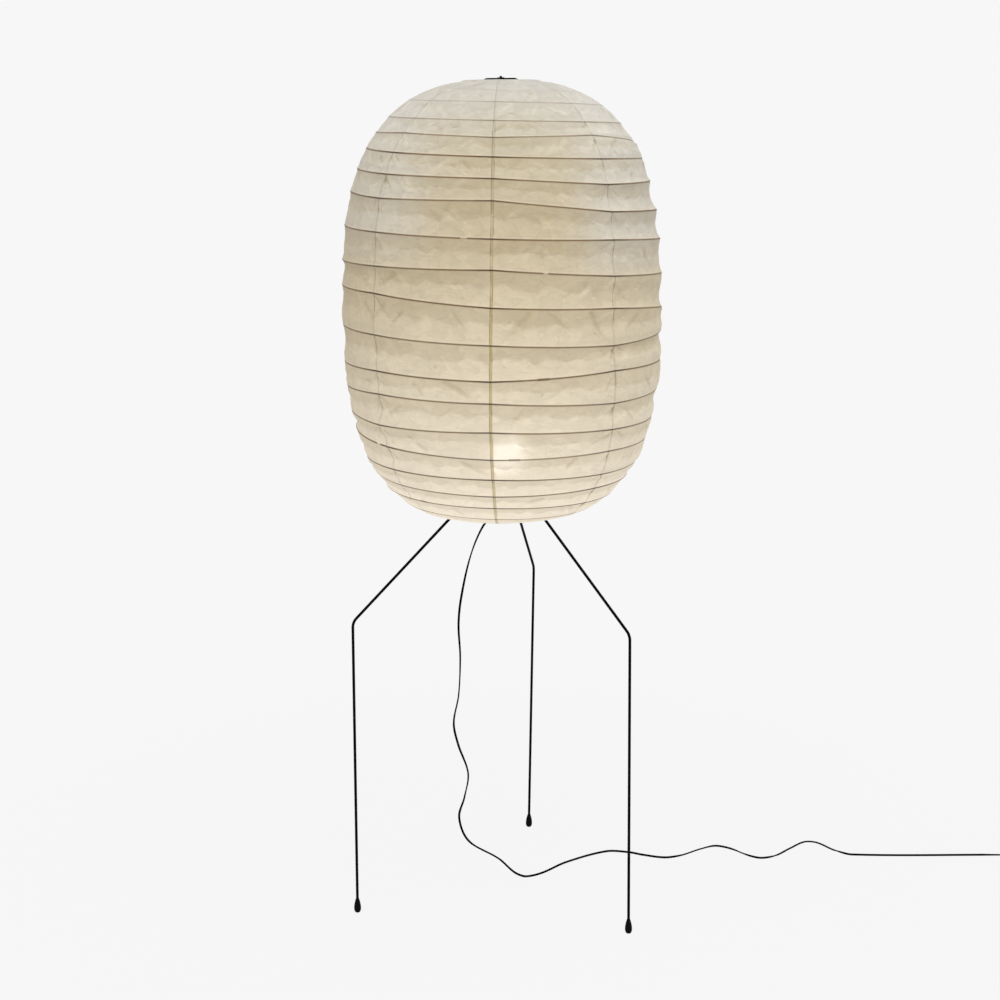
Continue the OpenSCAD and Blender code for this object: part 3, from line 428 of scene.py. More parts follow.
def painted_crease_shade(tree, crease, crumple, small, colour):
    """Painted shade and highlight: darker where a crease pushes the paper in and along the
    crumpled lines, paler where a crease pushes it out, and each facet lighter or darker by its
    tilt.
    """
    colour = mixed(tree, ranged(tree, crease, 0.0, -1.0, 0.0, 0.42), colour, srgb(163, 144, 104))
    colour = mixed(tree, ranged(tree, crease, 0.0, 1.0, 0.0, 0.20), colour, srgb(232, 222, 200))
    colour = mixed(tree, times(tree, crumple["Crease"], 0.10), colour, srgb(158, 138, 98))
    # each facet painted lighter or darker by its tilt, as shade
    tilted = math_node(
        tree, "ADD", ranged(tree, crumple["Facet"], -0.22, 0.22, -0.045, 0.045, smooth=False),
        ranged(tree, small["Facet"], -0.22, 0.22, -0.03, 0.03, smooth=False))
    return vector_math(tree, "SCALE", colour, scale=math_node(tree, "ADD", tilted, 1.0))


def painted_band_shade(tree, place, height, rib_gap, fold_gap, colour):
    """(colour, above): painted shade above the fold, where the paper leans down, and a painted
    highlight where it turns over the rib below.
    """
    ragged = noise_over(tree, scaled_place(tree, place, 1.0, (1, 1, 1.4)), 26.0, 5.0,
                        roughness=0.68, distortion=1.4)
    ragged = times(tree, math_node(tree, "SUBTRACT", ragged, 0.5), 22.0)
    edged = math_node(tree, "ADD", fold_gap, ragged)
    crisp = ranged(tree, noise_over(tree, place, 13.0, 1.0), 0.38, 0.52)
    above = mixed(tree, crisp, ranged(tree, edged, -8.0, 9.0), ranged(tree, edged, -1.6, 2.4))
    patch = ranged(tree, noise_over(tree, place, 7.0, 1.0), 0.35, 0.65, 0.18, 0.31)
    above = times(tree, above, patch)
    banded = ranged(tree, height, *TOP_FADE)
    # painted shade on the upper part of each band, which leans down away from the light
    colour = mixed(tree, times(tree, above, banded), colour, srgb(164, 144, 100))
    # a painted highlight where the paper turns over the rib below it
    turned = times(tree, ranged(tree, rib_gap, 2.2, 5.5, 0.30, 0.0),
                   ranged(tree, fold_gap, -6.0, -3.0, 1.0, 0.0), banded)
    return mixed(tree, turned, colour, srgb(238, 228, 206)), above


def seam_tones(tree, place, height, seam_way, lap_half, seam_dark, fold_gap, colour):
    """(colour, lap): the lap of two panels, with glued edges and painted shade along its creased
    middle.
    """
    seen = ranged(tree, height, *TOP_FADE, 0.1, 1.0)
    lap = ranged(tree, math_node(tree, "SUBTRACT", seam_way, lap_half), -0.5, 0.5, 1.0, 0.0)
    lap_tone = times(tree, lap, seam_dark, ranged(tree, height, 1.6, 1.42, 0.12, 0.66), seen)
    colour = mixed(tree, lap_tone, colour, srgb(186, 166, 92))
    off_edge = math_node(tree, "ABSOLUTE", math_node(tree, "SUBTRACT", seam_way, lap_half))
    glue = ranged(tree, noise_over(tree, place, 34.0, 3.0), 0.40, 0.62, 0.22, 0.62)
    edge = times(tree, ranged(tree, off_edge, 0.3, 1.2, 1.0, 0.0), glue, seen,
                 ranged(tree, seam_dark, 0.0, 1.0, 0.16, 1.0, smooth=False))
    colour = mixed(tree, edge, colour, srgb(118, 84, 44))
    # painted shade where the lap creases under each rib, flattening out towards the fold
    painted_nip_shade = times(tree, ranged(tree, seam_way, 0.2, 1.3, 1.0, 0.0),
                ranged(tree, fold_gap, 2.0, 10.0), seen,
                ranged(tree, seam_dark, 0.0, 1.0, 0.62, 0.22, smooth=False))
    return mixed(tree, painted_nip_shade, colour, srgb(104, 82, 48)), lap


def rib_tones(tree, rib_gap, rib_half, rib_dark, seam_way, colour):
    """(colour, shadow): a faint brown band along the rib and the rib's painted shadow, darkest
    near a seam.
    """
    off_rib = math_node(tree, "SUBTRACT", rib_gap, rib_half)
    shadow = times(tree, ranged(tree, off_rib, -0.5, 0.7, 1.0, 0.0), rib_dark)
    rib_halo = times(tree, ranged(tree, off_rib, 0.0, 2.6, 0.24, 0.0), rib_dark)
    colour = mixed(tree, rib_halo, colour, srgb(150, 112, 56))
    by_seam = ranged(tree, seam_way, 4.0, 75.0, 1.0, 0.80)
    cast = mixed(tree, ranged(tree, seam_way, 3.0, 60.0), srgb(50, 32, 10), srgb(90, 61, 22))
    return mixed(tree, times(tree, shadow, by_seam), colour, cast), shadow


def bulb_light(tree, place, across, shadow, lap, facet, above):
    """Light from the bulb: less far off, through laps and through the rib."""
    to_bulb = vector_math(tree, "SUBTRACT", BULB_MIDDLE, place)
    reach = vector_math(tree, "LENGTH", to_bulb)
    faces = vector_math(tree, "DOT_PRODUCT", vector_math(tree, "NORMALIZE", to_bulb),
                        add(tree, "ShaderNodeNewGeometry").outputs["Normal"])
    faces = math_node(tree, "ABSOLUTE", faces)
    let_through = times(
        tree, math_node(tree, "SUBTRACT", 1.0, times(tree, shadow, 0.9)),
        math_node(tree, "SUBTRACT", 1.0, times(tree, lap, 0.35)))
    glow = math_node(tree, "DIVIDE", 0.096, times(tree, reach, reach))
    glow = times(tree, glow, faces, let_through, 0.26)
    warm = mixed(tree, ranged(tree, reach, 0.28, 0.75), (1.0, 0.93, 0.80, 1), (1.0, 0.82, 0.55, 1))
    # where the bulb shines straight through, to the right of the front seam
    ahead = math_node(tree, "ADD", vector_math(tree, "DISTANCE", place, SPOT_MIDDLE),
                      times(tree, facet, 0.05))
    strength = math_node(tree, "SUBTRACT", 0.27, times(tree, above, 0.12))
    spot = times(tree, ranged(tree, ahead, *SPOT_REACH, 1.0, 0.0),
                 ranged(tree, across, *FRONT_SEAM, 0.25, 1.0), let_through, strength)
    return vector_math(tree, "ADD", vector_math(tree, "SCALE", warm, scale=glow),
                       vector_math(tree, "SCALE", (1.0, 0.97, 0.94), scale=spot))


def lantern_paper(name):
    """Thin handmade paper lit from inside by the bulb.

    The mesh carries how far each point is from the rib, from the seam and from
    the fold half way between two turns of the rib, in millimetres.
    """
    material, tree, shader, place = start_material(name, 0.82, 0, 0.18)
    shader.inputs["Sheen Weight"].default_value = 0.12
    shader.inputs["Sheen Roughness"].default_value = 0.6

    def carried(what):
        return add(tree, "ShaderNodeAttribute", attribute_name=what).outputs["Fac"]

    rib_gap, fold_gap, lap_half = carried("rib_mm"), carried("fold_mm"), carried("lap_half_mm")
    seam_way = math_node(tree, "ABSOLUTE", carried("seam_mm"))
    apart = add(tree, "ShaderNodeSeparateXYZ", {"Vector": place})
    across, height = apart.outputs[0], apart.outputs[2]
    crumple = place_group(tree, CRUMPLE, Place=place, Cells=24.0, Crease_Width=0.045)
    small = place_group(tree, CRUMPLE, Place=scaled_place(tree, place, 1.0, (1, 1, 1.3)),
                        Cells=52.0, Crease_Width=0.06)
    fibre = paper_fibres(tree, place)

    colour = paper_tone_with_painted_light(tree, place, across, height)
    colour = mixed(tree, times(tree, fibre, 0.16), colour, srgb(170, 150, 112))
    colour = painted_crease_shade(tree, carried("crease"), crumple, small, colour)
    colour, above = painted_band_shade(tree, place, height, rib_gap, fold_gap, colour)
    colour, lap = seam_tones(tree, place, height, seam_way, lap_half, carried("seam_dark"),
                             fold_gap, colour)
    colour, shadow = rib_tones(tree, rib_gap, carried("rib_half_mm"), carried("rib_dark"),
                               seam_way, colour)
    put(tree, shader.inputs["Base Color"], colour)
    put(tree, shader.inputs["Emission Color"],
        bulb_light(tree, place, across, shadow, lap, crumple["Facet"], above))
    shader.inputs["Emission Strength"].default_value = 1.0

    # crinkles, facets and fibres
    relief = times(tree, noise_over(tree, place, 55.0, 5.0, roughness=0.55, distortion=0.6), 0.6)
    for height_of, share in ((crumple["Facet"], 0.9), (small["Facet"], 0.3), (fibre, 0.05)):
        relief = math_node(tree, "ADD", relief, times(tree, height_of, share))
    bumped(tree, shader, relief, 0.0030, 0.8)
    return material


def frosted_glass(name):
    """Frosted bulb glass, white inside and lit."""
    material, tree, shader, place = start_material(name, 0.35, 0, 0.5)
    tone = place_group(tree, MOTTLE, Place=place, Size=0.01, Amount=0.03,
                       Colour=srgb(250, 244, 230))
    put(tree, shader.inputs["Base Color"], tone["Colour"])
    frost = noise_over(tree, place, 700.0, 2.0)
    put(tree, shader.inputs["Roughness"], ranged(tree, frost, 0.3, 0.7, 0.3, 0.45))
    glow = vector_math(tree, "SCALE", tone["Colour"],
                       scale=ranged(tree, frost, 0.2, 0.8, 0.96, 1.04))
    put(tree, shader.inputs["Emission Color"], glow)
    shader.inputs["Emission Strength"].default_value = 2.2
    return material


def clear_glass(name):
    """The clear stem that carries the filament."""
    material, tree, shader, place = start_material(name, 0.05, 0, 0.5)
    shader.inputs["Transmission Weight"].default_value = 0.9
    tone = place_group(tree, MOTTLE, Place=place, Size=0.01, Amount=0.02,
                       Colour=(0.93, 0.95, 0.95, 1))
    put(tree, shader.inputs["Base Color"], tone["Colour"])
    return material


MATERIALS = {
    "black_steel": powder_coat("black_steel", srgb(7, 7, 8)),
    "foot_rubber": moulded("foot_rubber", srgb(9, 9, 10), 0.62, 900.0, 0.0001, 0.04, 0.05),
    "plated_steel": bright_metal("plated_steel", srgb(192, 189, 182), 0.3),
    "holder_plastic": moulded("holder_plastic", srgb(28, 28, 30), 0.45, shine=0.3),
    "holder_ceramic": ceramic("holder_ceramic", srgb(236, 232, 222)),
    "contact_brass": bright_metal("contact_brass", srgb(206, 170, 98), 0.28,
                                  tarnish=srgb(128, 92, 44)),
    "lead_sleeve": moulded("lead_sleeve", srgb(196, 194, 188), 0.4, shine=0.4),
    "bulb_glass": frosted_glass("bulb_glass"),
    "bulb_cap_metal": bright_metal("bulb_cap_metal", srgb(208, 207, 203), 0.32),
    "bulb_insulator": moulded("bulb_insulator", srgb(34, 32, 36), 0.15, shine=0.5),
    "solder": bright_metal("solder", srgb(176, 176, 178), 0.42),
    "clear_glass": clear_glass("clear_glass"),
    "filament": bright_metal("filament", srgb(150, 140, 128), 0.45),
    "cord_jacket": moulded("cord_jacket", srgb(6, 6, 7), 0.5, 2200.0, 0.00004, 0.0, 0.0),
    "cord_plastic": moulded("cord_plastic", srgb(22, 22, 24), 0.4, 1600.0, 0.00005, 0.05, 0.2),
    "relief_rubber": moulded("relief_rubber", srgb(18, 18, 19), 0.6, 1200.0, 0.00006, 0.04),
    "bamboo": split_bamboo("bamboo"),
    "washi_paper": lantern_paper("washi_paper"),
}

SLOT_OF = {s["node"]: s["material_slot"] for s in frame["record"]["subparts"]}


# ------------------------------------------------------------ mesh helpers

def mesh_piece(name, points, faces, slot, body="lamp", smooth=True, carried=None):
    """A mesh object from points and faces that rides on a body."""
    mesh = bpy.data.meshes.new(name)
    mesh.from_pydata([tuple(map(float, p)) for p in points], [],
                     [tuple(map(int, f)) for f in faces])
    for what, values in (carried or {}).items():
        data = mesh.attributes.new(what, "FLOAT", "POINT")
        data.data.foreach_set("value", np.asarray(values, np.float32))
    mesh.polygons.foreach_set("use_smooth", [smooth] * len(mesh.polygons))
    mesh.materials.append(MATERIALS[slot])
    piece = bpy.data.objects.new(name, mesh)
    bpy.context.scene.collection.objects.link(piece)
    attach(piece, body)
    return piece


def grid_faces(rows, columns, closed=False, first=0):
    """Quads between rows of points; closed joins the last column to the first."""
    faces = []
    for i in range(rows - 1):
        for j in range(columns if closed else columns - 1):
            a = first + i * columns + j
            b = first + i * columns + (j + 1) % columns
            faces.append((a, b, b + columns, a + columns))
    return faces


# ------------------------------------------------------------------ cords

CORD_WIDTH, CORD_THICK = 5.6, 3.4
# where the cord runs, in millimetres: down from its grip, then over the floor to the
# switch; it lies on the floor where its middle is half a thickness up
ROUTE = [
    (0, 0, 987), (0, 0, 972), (-4, 0, 960), (-21, 0, 940), (-47, 0, 914), (-77, 0, 842),
    (-100, 1, 740), (-107, 6, 672), (-104, 12, 590), (-109, 20, 492),
    (-122, 35, 415), (-112, 46, 355), (-89, 62, 275), (-99, 78, 205),
    (-113, 92, 145), (-90, 98, 80), (-15, 80, 40), (26, 62, 10),
    (57, 57, 1.7), (94, 77, 1.7), (157, 139, 1.7), (262, 202, 1.7),
    (318, 196, 1.7), (355, 179, 1.7), (408, 163, 1.7), (450, 175, 1.7),
    (506, 214, 1.7), (546, 232, 1.7), (583, 215, 1.7), (628, 169, 1.7),
    (655, 157, 1.7), (690, 170, 1.7), (738, 217, 1.7), (782, 256, 1.7),
    (812, 251, 1.7), (850, 202, 1.7), (890, 174, 1.7), (1260, 168, 1.7),
    (1286, 169, 5), (1311.5, 169, 5)]
SWITCH_END = (1374.5, 169.0, 5.0)   # where the spare length leaves the switch
COIL_PLACE = (1442.0, 138.0)
COIL_RADIUS, COIL_LOW, COIL_CLIMB, COIL_TURNS = 31.0, 2.6, 4.0, 2.25
COIL_STEPS = 32                     # points in one turn of the coil
LONGEST_STEP = 6.0                  # between two points of the spare length
# how the flat cord turns about itself: place along it, degrees. On the floor it
# lies flat at whole half turns and stands on its edge between them
TWIST = [(0, 0), (30, 0), (60, 30), (154, 90), (286, 180), (484, 270), (572, 290),
         (660, 360), (792, 450), (870, 540), (1080, 540), (1126, 628), (1560, 628),
         (1588, 675), (1668, 678), (1700, 640), (1738, 648), (1772, 700), (1804, 636),
         (1848, 640), (1880, 712), (2086, 718), (2116, 636), (2490, 636), (2530, 720)]


def smooth_route(route, steps):
    """Points on a smooth curve through a route, never under the floor."""
    route = [np.array(p, float) for p in route]
    last = len(route) - 1

    def along(i):
        before, after = route[max(i - 1, 0)], route[min(i + 1, last)]
        way = np.linalg.norm(route[i] - before) + np.linalg.norm(after - route[i])
        return (after - before) / max(way, 0.001)

    line = []
    for i in range(last):
        p, q = route[i], route[i + 1]
        span = np.linalg.norm(q - p)
        for s in range(steps):
            u = s / steps
            at = ((2 * u**3 - 3 * u * u + 1) * p + (u**3 - 2 * u * u + u) * span * along(i)
                  + (3 * u * u - 2 * u**3) * q + (u**3 - u * u) * span * along(i + 1))
            at[2] = max(at[2], CORD_THICK / 2)
            line.append(at)
    return line + [route[last]]


def turn_at(run, twist):
    """How far the flat cord has turned about itself, in radians."""
    return math.radians(np.interp(run, *zip(*twist)))


def stood_on_floor(line, twist):
    """The line lifted where the cord stands on its edge, so it stays on the floor."""
    run, last = 0.0, line[0]
    for at in line:
        run += np.linalg.norm(at - last)
        last = at.copy()
        rise = (CORD_WIDTH - CORD_THICK) / 2 * abs(math.sin(turn_at(run, twist)))
        at[2] = max(at[2], CORD_THICK / 2 + rise)
    return line


def twin_outline(steps=10):
    """Outline of the flat twin cord: two round cores with a groove between."""
    core = CORD_THICK / 2
    middle = CORD_WIDTH / 2 - core
    half = [(middle + core * math.cos(a), core * math.sin(a))
            for a in np.linspace(-math.radians(128), math.radians(128), steps)]
    return half + [(-x, -y) for x, y in half]


def twin_cord(name, line, twist=None):
    """The flat cord along a line of points, in millimetres."""
    line = [np.array(p, float) for p in line]
    last = len(line) - 1
    outline = twin_outline()
    points, run = [], 0.0
    for i, at in enumerate(line):
        if i:
            run += np.linalg.norm(at - line[i - 1])
        t = line[min(i + 1, last)] - line[max(i - 1, 0)]
        t /= np.linalg.norm(t)
        # its wide side lies to the right where it hangs, and level where it lies
        level = math.hypot(t[0], t[1])
        w = min(max((level - 0.6) / 0.3, 0), 1)
        side = (1 - w) * np.array([1.0, 0, 0])
        if level > 0.01:
            side = side + w / level * np.array([-t[1], t[0], 0])
        side -= side.dot(t) * t
        side /= np.linalg.norm(side)
        up = np.cross(t, side)
        turn = turn_at(run, twist) if twist else 0.0
        a, b = (math.cos(turn) * side + math.sin(turn) * up,
                math.cos(turn) * up - math.sin(turn) * side)
        points += [(at + x * a + y * b) * MM for x, y in outline]
    count = len(outline)
    faces = grid_faces(len(line), count, closed=True)
    faces.append(tuple(reversed(range(count))))
    faces.append(tuple(range(len(points) - count, len(points))))
    return mesh_piece(name, points, faces, "cord_jacket")


def lay_cords():
    """The cord that shows, and the spare length past the switch."""
    line = stood_on_floor(smooth_route(ROUTE, 10), TWIST)
    main = twin_cord("lamp_cord", line, TWIST)
    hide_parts("cord_run")

    # out of the switch, round in the coil, then on to the plug
    _, side, rise = SWITCH_END
    cx, cy = COIL_PLACE
    lead = [SWITCH_END, (1394, side, rise), (1416, side, 3.5), (cx - CORD_WIDTH, side, COIL_LOW)]
    coil = []
    for i in range(int(COIL_TURNS * COIL_STEPS) + 1):
        a = math.radians(90 - 360 * i / COIL_STEPS)
        coil.append((cx + COIL_RADIUS * math.cos(a), cy + COIL_RADIUS * math.sin(a),
                     COIL_LOW + COIL_CLIMB * i / COIL_STEPS))
    top = COIL_LOW + COIL_CLIMB * COIL_TURNS
    x = cx + COIL_RADIUS
    tail = [(x, cy - CORD_WIDTH, top), (x, 111, 9.6), (x, 87, 7), (x, 61, 7)]
    line = [np.array(p, float) for p in lead + coil + tail]
    fine = [line[0]]
    for a, b in zip(line, line[1:]):
        parts = max(1, round(np.linalg.norm(b - a) / LONGEST_STEP))
        fine += [a + (b - a) * k / parts for k in range(1, parts + 1)]
    short = twin_cord("spare_cord", fine)
    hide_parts("cord_lead", "cord_coil", "cord_end")


# ------------------------------------------------------------------ shade

SHADE_TOP, SHADE_LOW, SHADE_R, BELLY = 1927.0, 957.0, 361.0, 1414.0
TOP_NECK, LOW_NECK = 82.0, 126.0    # radius of the upper and the lower opening
TOP_CURVE, LOW_CURVE = (3.02, 1.85), (2.63, 2.21)    # how full the outline is: up, out
# how far apart the strip's passes are at the front seam, from the top, in proportion
RIB_DROPS = [20, 27, 39, 34, 39, 43, 44, 77, 63, 78,
             78, 76, 47, 63, 62, 47, 42, 31, 34, 21, 5]
PANELS = 8
PANEL_STEP = 360 / PANELS
SEAM_TURN = 266.7                   # the seam nearest the viewer, degrees from +X
RIB_TURNS = len(RIB_DROPS) - 1
RIB_START = 1 / PANELS              # turns down to the strip's upper end
RIM_TURN = RIB_TURNS + 2 * RIB_START
PAPER_THICK = 0.35                  # millimetres, as all lengths of the shade
# how far the rib strays up from an even spiral, a quarter and an eighth of a turn
# before each pass of the front seam and as far after it, from this pass on
STRAY_FROM = 4
RIB_STRAY = [
    (1, 5, 7, -5), (7, 3, -2, -1), (5, 1, -11, -6), (0, -5, -19, -18),
    (-8, -3, -2, -8), (-18, -9, -13, -18), (-2, 8, -3, -15), (0, 3, -1, 16),
    (-14, -1, 15, 15), (-18, -2, -7, 2), (-10, -12, -3, -1), (10, 2, 7, 8),
    (-6, -3, -1, 2), (5, 1, 5, 6), (1, -1, -1, -1)]
# how far the three seams in view stray along the arc, by height: front, left, right
SEAM_STRAY = {
    0: [(998, -2.6), (1065, -3.3), (1137, -5.7), (1207, -6.2), (1313, -4.6), (1395, -3.5),
        (1503, -1.8), (1600, -0.5), (1685, 0.7), (1761, 0.2), (1822, 0.6), (1882, 1.7)],
    7: [(1093, -9.2), (1124, 3), (1154, -10.7), (1178, -13.5), (1197, -17.4), (1234, 1.5),
        (1262, -2.5), (1286, -0.6), (1384, -8.5), (1492, -6.9), (1607, -6.4), (1633, -8.6),
        (1685, -9.2), (1735, -4.3), (1753, -6.1), (1801, -0.2), (1849, 11.3)],
    1: [(1163, 13.9), (1408, -4.8), (1593, 1.0), (1711, 4.5)]}
# how deep the paper lies inside the smooth outline at the shade's left and right
# edges: for each band from the top, at a fifth, two, three and four fifths down it
LEFT_DENTS = [
    (0, 0, 0, 0), (0, 0, 0, 0), (1, 1, 1, 1), (1, 0, -0.5, -0.5), (1, 0.5, 0, 1),
    (2.5, 2, 1.5, 1), (3.5, 3.5, 2.5, 1.5), (3, 3.5, 2.5, 3.5), (6, 6, 3.5, 2),
    (3, 2, -1, -2), (3, 4.5, 3.5, 0), (0, -0.5, 1.5, -1), (0, 3, 2.5, 0),
    (-0.5, 2.5, 7.5, 6), (0.5, 1, 3.5, -0.5), (-2.5, -1, 1, -1), (1.5, 2, 4.5, 3),
    (2, 3, 2.5, 2), (0, 0, -1, -2), (0, 0, 0, 0)]
RIGHT_DENTS = [
    (0, 0, 0, 0), (0, 0, 0, 0), (0, 0, 0, 0.5), (1.5, 1, 0, -1.5), (-2, -2, -2.5, -2.5),
    (0, 1.5, 2.5, 3), (6, 8.5, 9, 6), (4.5, 7.5, 8, 6), (4, 6, 5.5, 5),
    (1, 3.5, 6, 6), (1, 2, 0.5, -1.5), (7.5, 3, -1, -2), (-1.5, -3, -3.5, -3),
    (3, 5.5, 0.5, -1.5), (-1, -0.5, 0, 0), (-1, -2.5, -4, -4), (-2, 0.5, 1.5, 3),
    (1.5, 2.5, 1.5, 1), (1.5, 1.5, 0, 0), (0, 0, 0, 0)]
LEFT_EDGE, RIGHT_EDGE = 186, 355    # where those edges are, degrees from +X
# places where two lengths of the strip overlap: turn, half length in turns
SPLICES = [(6.4, 0.006), (12.048, 0.0055), (15.022, 0.005), (17.62, 0.008), (17.9, 0.005),
           (3.4, 0.008), (5.55, 0.008), (10.5, 0.008), (13.42, 0.008)]

# places where the strip lifts off the paper and its shadow breaks: the same way
LIFTS = [(7.974, 0.0028), (9.05, 0.0022), (11.31, 0.003), (14.86, 0.003)]


def outline_at(a):
    """(radius, height) of the smooth outline at its angle, from 90 to -90 degrees."""
    a = np.radians(np.asarray(a, float))
    c, s = np.cos(a).clip(0), np.sin(a)
    top = s >= 0
    r = np.where(top, TOP_NECK + (SHADE_R - TOP_NECK) * c ** (2 / TOP_CURVE[1]),
                 LOW_NECK + (SHADE_R - LOW_NECK) * c ** (2 / LOW_CURVE[1]))
    z = np.where(top, BELLY + (SHADE_TOP - BELLY) * np.abs(s) ** (2 / TOP_CURVE[0]),
                 BELLY - (BELLY - SHADE_LOW) * np.abs(s) ** (2 / LOW_CURVE[0]))
    return r, z


def make_arc_table():
    """(run, angle) down the outline, with close steps where its slope is steep."""
    angles = 90 * np.linspace(1, -1, 4001) ** 3
    r, z = outline_at(angles)
    run = np.cumsum(np.hypot(np.diff(r), np.diff(z)))
    return np.concatenate([[0], run]), angles


ARC_RUN, ARC_ANGLES = make_arc_table()


def angle_between(a0, a1, share):
    """The outline's angle at a share of the way along the arc from a0 to a1."""
    start, end = np.interp([-a0, -a1], -ARC_ANGLES, ARC_RUN)
    return np.interp(start + (end - start) * share, ARC_RUN, ARC_ANGLES)


def angle_of_height(z):
    """The outline's angle at a height, in degrees."""
    if z >= BELLY:
        return math.degrees(math.asin(
            min(1, ((z - BELLY) / (SHADE_TOP - BELLY)) ** (TOP_CURVE[0] / 2))))
    return -math.degrees(math.asin(
        min(1, ((BELLY - z) / (BELLY - SHADE_LOW)) ** (LOW_CURVE[0] / 2))))


def make_turn_table():
    """(turns down, outline's angle there) where the strip passes the front seam."""
    total, run, heights = sum(RIB_DROPS), 0, []
    for drop in [0] + RIB_DROPS[:-1]:
        run += drop
        heights.append(SHADE_TOP - (SHADE_TOP - SHADE_LOW) * run / total)
    turns = list(range(RIB_TURNS + 1)) + [RIM_TURN]
    return turns, [angle_of_height(z) for z in heights] + [-90.0]


TURNS, TURN_ANGLES = make_turn_table()


def turn_angle(t):
    """The outline's angle at t turns down an even spiral."""
    return np.interp(t, TURNS, TURN_ANGLES)


def make_stray_table():
    """(turns down, stray) at each place where the rib's stray is given."""
    places, heights = [STRAY_FROM - 0.25], [0.0]
    for k, (a, b, c, d) in enumerate(RIB_STRAY):
        t = STRAY_FROM + k
        places += [t - 0.25 + 1e-6, t - 0.125, t, t + 0.125, t + 0.25]
        heights += [a, b, 0, c, d]
    return places + [STRAY_FROM + len(RIB_STRAY)], heights + [0.0]


STRAY_TABLE = make_stray_table()


def stray_angle(t):
    """The outline's angle at t turns down, with the rib's hand-laid stray."""
    t = np.asarray(t, float)
    a = turn_angle(t)
    stray = np.interp(t, *STRAY_TABLE, left=0, right=0)
    _, z0 = outline_at(a - 0.5)
    _, z1 = outline_at(a + 0.5)
    return a + np.where(np.abs(stray) > 0, stray / np.maximum(z1 - z0, 0.5), 0)


def value_noise(seed, count, low, high):
    """A smooth random curve through count values, as a function of 0 to 1."""
    source = random.Random(seed)
    values = [source.uniform(low, high) for _ in range(count + 3)]

    def at(x):
        x = np.clip(np.asarray(x, float), 0, 1) * count
        i = np.floor(x).astype(int)
        u = x - i
        u = u * u * (3 - 2 * u)
        table = np.array(values)
        return table[i] * (1 - u) + table[i + 1] * u
    return at


COLUMNS = 80                        # across one panel
FRONT_LAP, SIDE_LAP = 2.5, 2.0      # half of the lap at the front seam, at the others
FOLD_DEPTH = 0.06                   # of the length of the band
RIB_HALF, SPLICE_HALF = 1.5, 2.4    # half the width of the strip's shadow
NO_RIB = 99.0                       # stands for far away from a rib
SHORTEST_CREASE = 4.0
CREASE_KINDS = ("pleat",) * 5 + ("drape",) * 3 + ("wrinkle",) * 7
RIB_TONE = value_noise(7000, 90, 0.78, 1.0)
# shares down a band where the paper has points
BAND_STEPS = [0.0, 0.02, 0.045, 0.08, 0.13, 0.19, 0.26, 0.33, 0.40, 0.455, 0.5,
              0.545, 0.60, 0.67, 0.74, 0.81, 0.87, 0.92, 0.955, 0.98]


def band_corners(f):
    """Turns of the rim, the rib's turns and the other rim at a share f of a turn."""
    return np.concatenate([[0.0], RIB_START + f + np.arange(RIB_TURNS), [RIM_TURN]])


def settled(t):
    """How far the top of the shade has sunk under its own weight, t turns down."""
    return np.interp(t, [0, 0.15, 0.9, 1.8, 2.8], [0, 3.5, 3.5, 1.2, 0])


def edge_share(turn, edge):
    """1 where the shade is seen edge on, fading to 0 some way round from there."""
    near = math.cos(math.radians(turn - edge))
    u = min(max((near - 0.45) / 0.4, 0), 1)
    return u * u * (3 - 2 * u)


def side_dent(band, panel, turn, w):
    """(dent, share) given at the left and right edges, for one column."""
    places, dent, total = [0, 0.2, 0.4, 0.6, 0.8, 1], 0, 0
    for table, edge in ((LEFT_DENTS, LEFT_EDGE), (RIGHT_DENTS, RIGHT_EDGE)):
        row = band + (1 if edge == RIGHT_EDGE and panel > 4 else 0)
        share = edge_share(turn, edge)
        if share and 0 <= row < len(table):
            dent = dent + share * np.interp(w, places, [0, *table[row], 0])
            total += share
    return dent, total


def band_edge(t):
    """(angle, point) where a band ends, t turns down: on the rib or at a rim."""
    a = 90.0 if t <= 0 else -90.0 if t >= RIM_TURN else float(stray_angle(t))
    r, z = outline_at(a)
    return a, np.array([float(r), float(z)])


def seam_wander(seam):
    """How far a seam strays along the arc, as a function of height, in mm."""
    loose = value_noise(50 + seam % PANELS, 26, -1, 1)
    laid = SEAM_STRAY.get(seam % PANELS)

    def at(z):
        chance = loose((SHADE_TOP - z) / (SHADE_TOP - SHADE_LOW))
        return chance * 3.2 if laid is None else chance * 0.4 + np.interp(z, *zip(*laid))
    return at


def lay_creases(source, panel, bands):
    """The creases of each band of a panel, as (start across, start down, end across,
    end down, depth, width): places are shares of the band, depth and width are mm.
    The front seam is drawn flat and has no pleats."""
    pleated = [end for end, seam in ((0.0, panel), (1.0, panel + 1)) if seam % PANELS]
    creases = []
    for _ in range(bands):
        marks = []
        for kind in CREASE_KINDS:
            depth = source.uniform(0.5, 1.3) * source.choice([-1, -1, 1])
            away = source.choice([-1, 1])
            if kind == "pleat":        # fans out under the rib at a side seam
                s0 = source.choice(pleated)
                away = 1 if s0 == 0 else -1
                s1 = s0 + away * source.uniform(0.03, 0.20)
                v0, v1 = source.uniform(0.0, 0.06), source.uniform(0.35, 0.85)
                width = source.uniform(1.4, 3.0)
            elif kind == "drape":      # a long soft slant down the band
                s0, v0 = source.uniform(0.12, 0.85), source.uniform(0.0, 0.3)
                s1, v1 = s0 + away * source.uniform(0.12, 0.30), source.uniform(0.7, 1.0)
                width = source.uniform(3.5, 7.0)
            else:                      # a short crisp wrinkle near the fold
                s0, v0 = source.uniform(0.05, 0.95), source.uniform(0.3, 0.75)
                s1, v1 = s0 + away * source.uniform(0.04, 0.12), v0 + source.uniform(-0.2, 0.2)
                width = source.uniform(1.2, 2.2)
            marks.append((s0, v0, s1, v1, depth, width))
        creases.append(marks)
    return creases


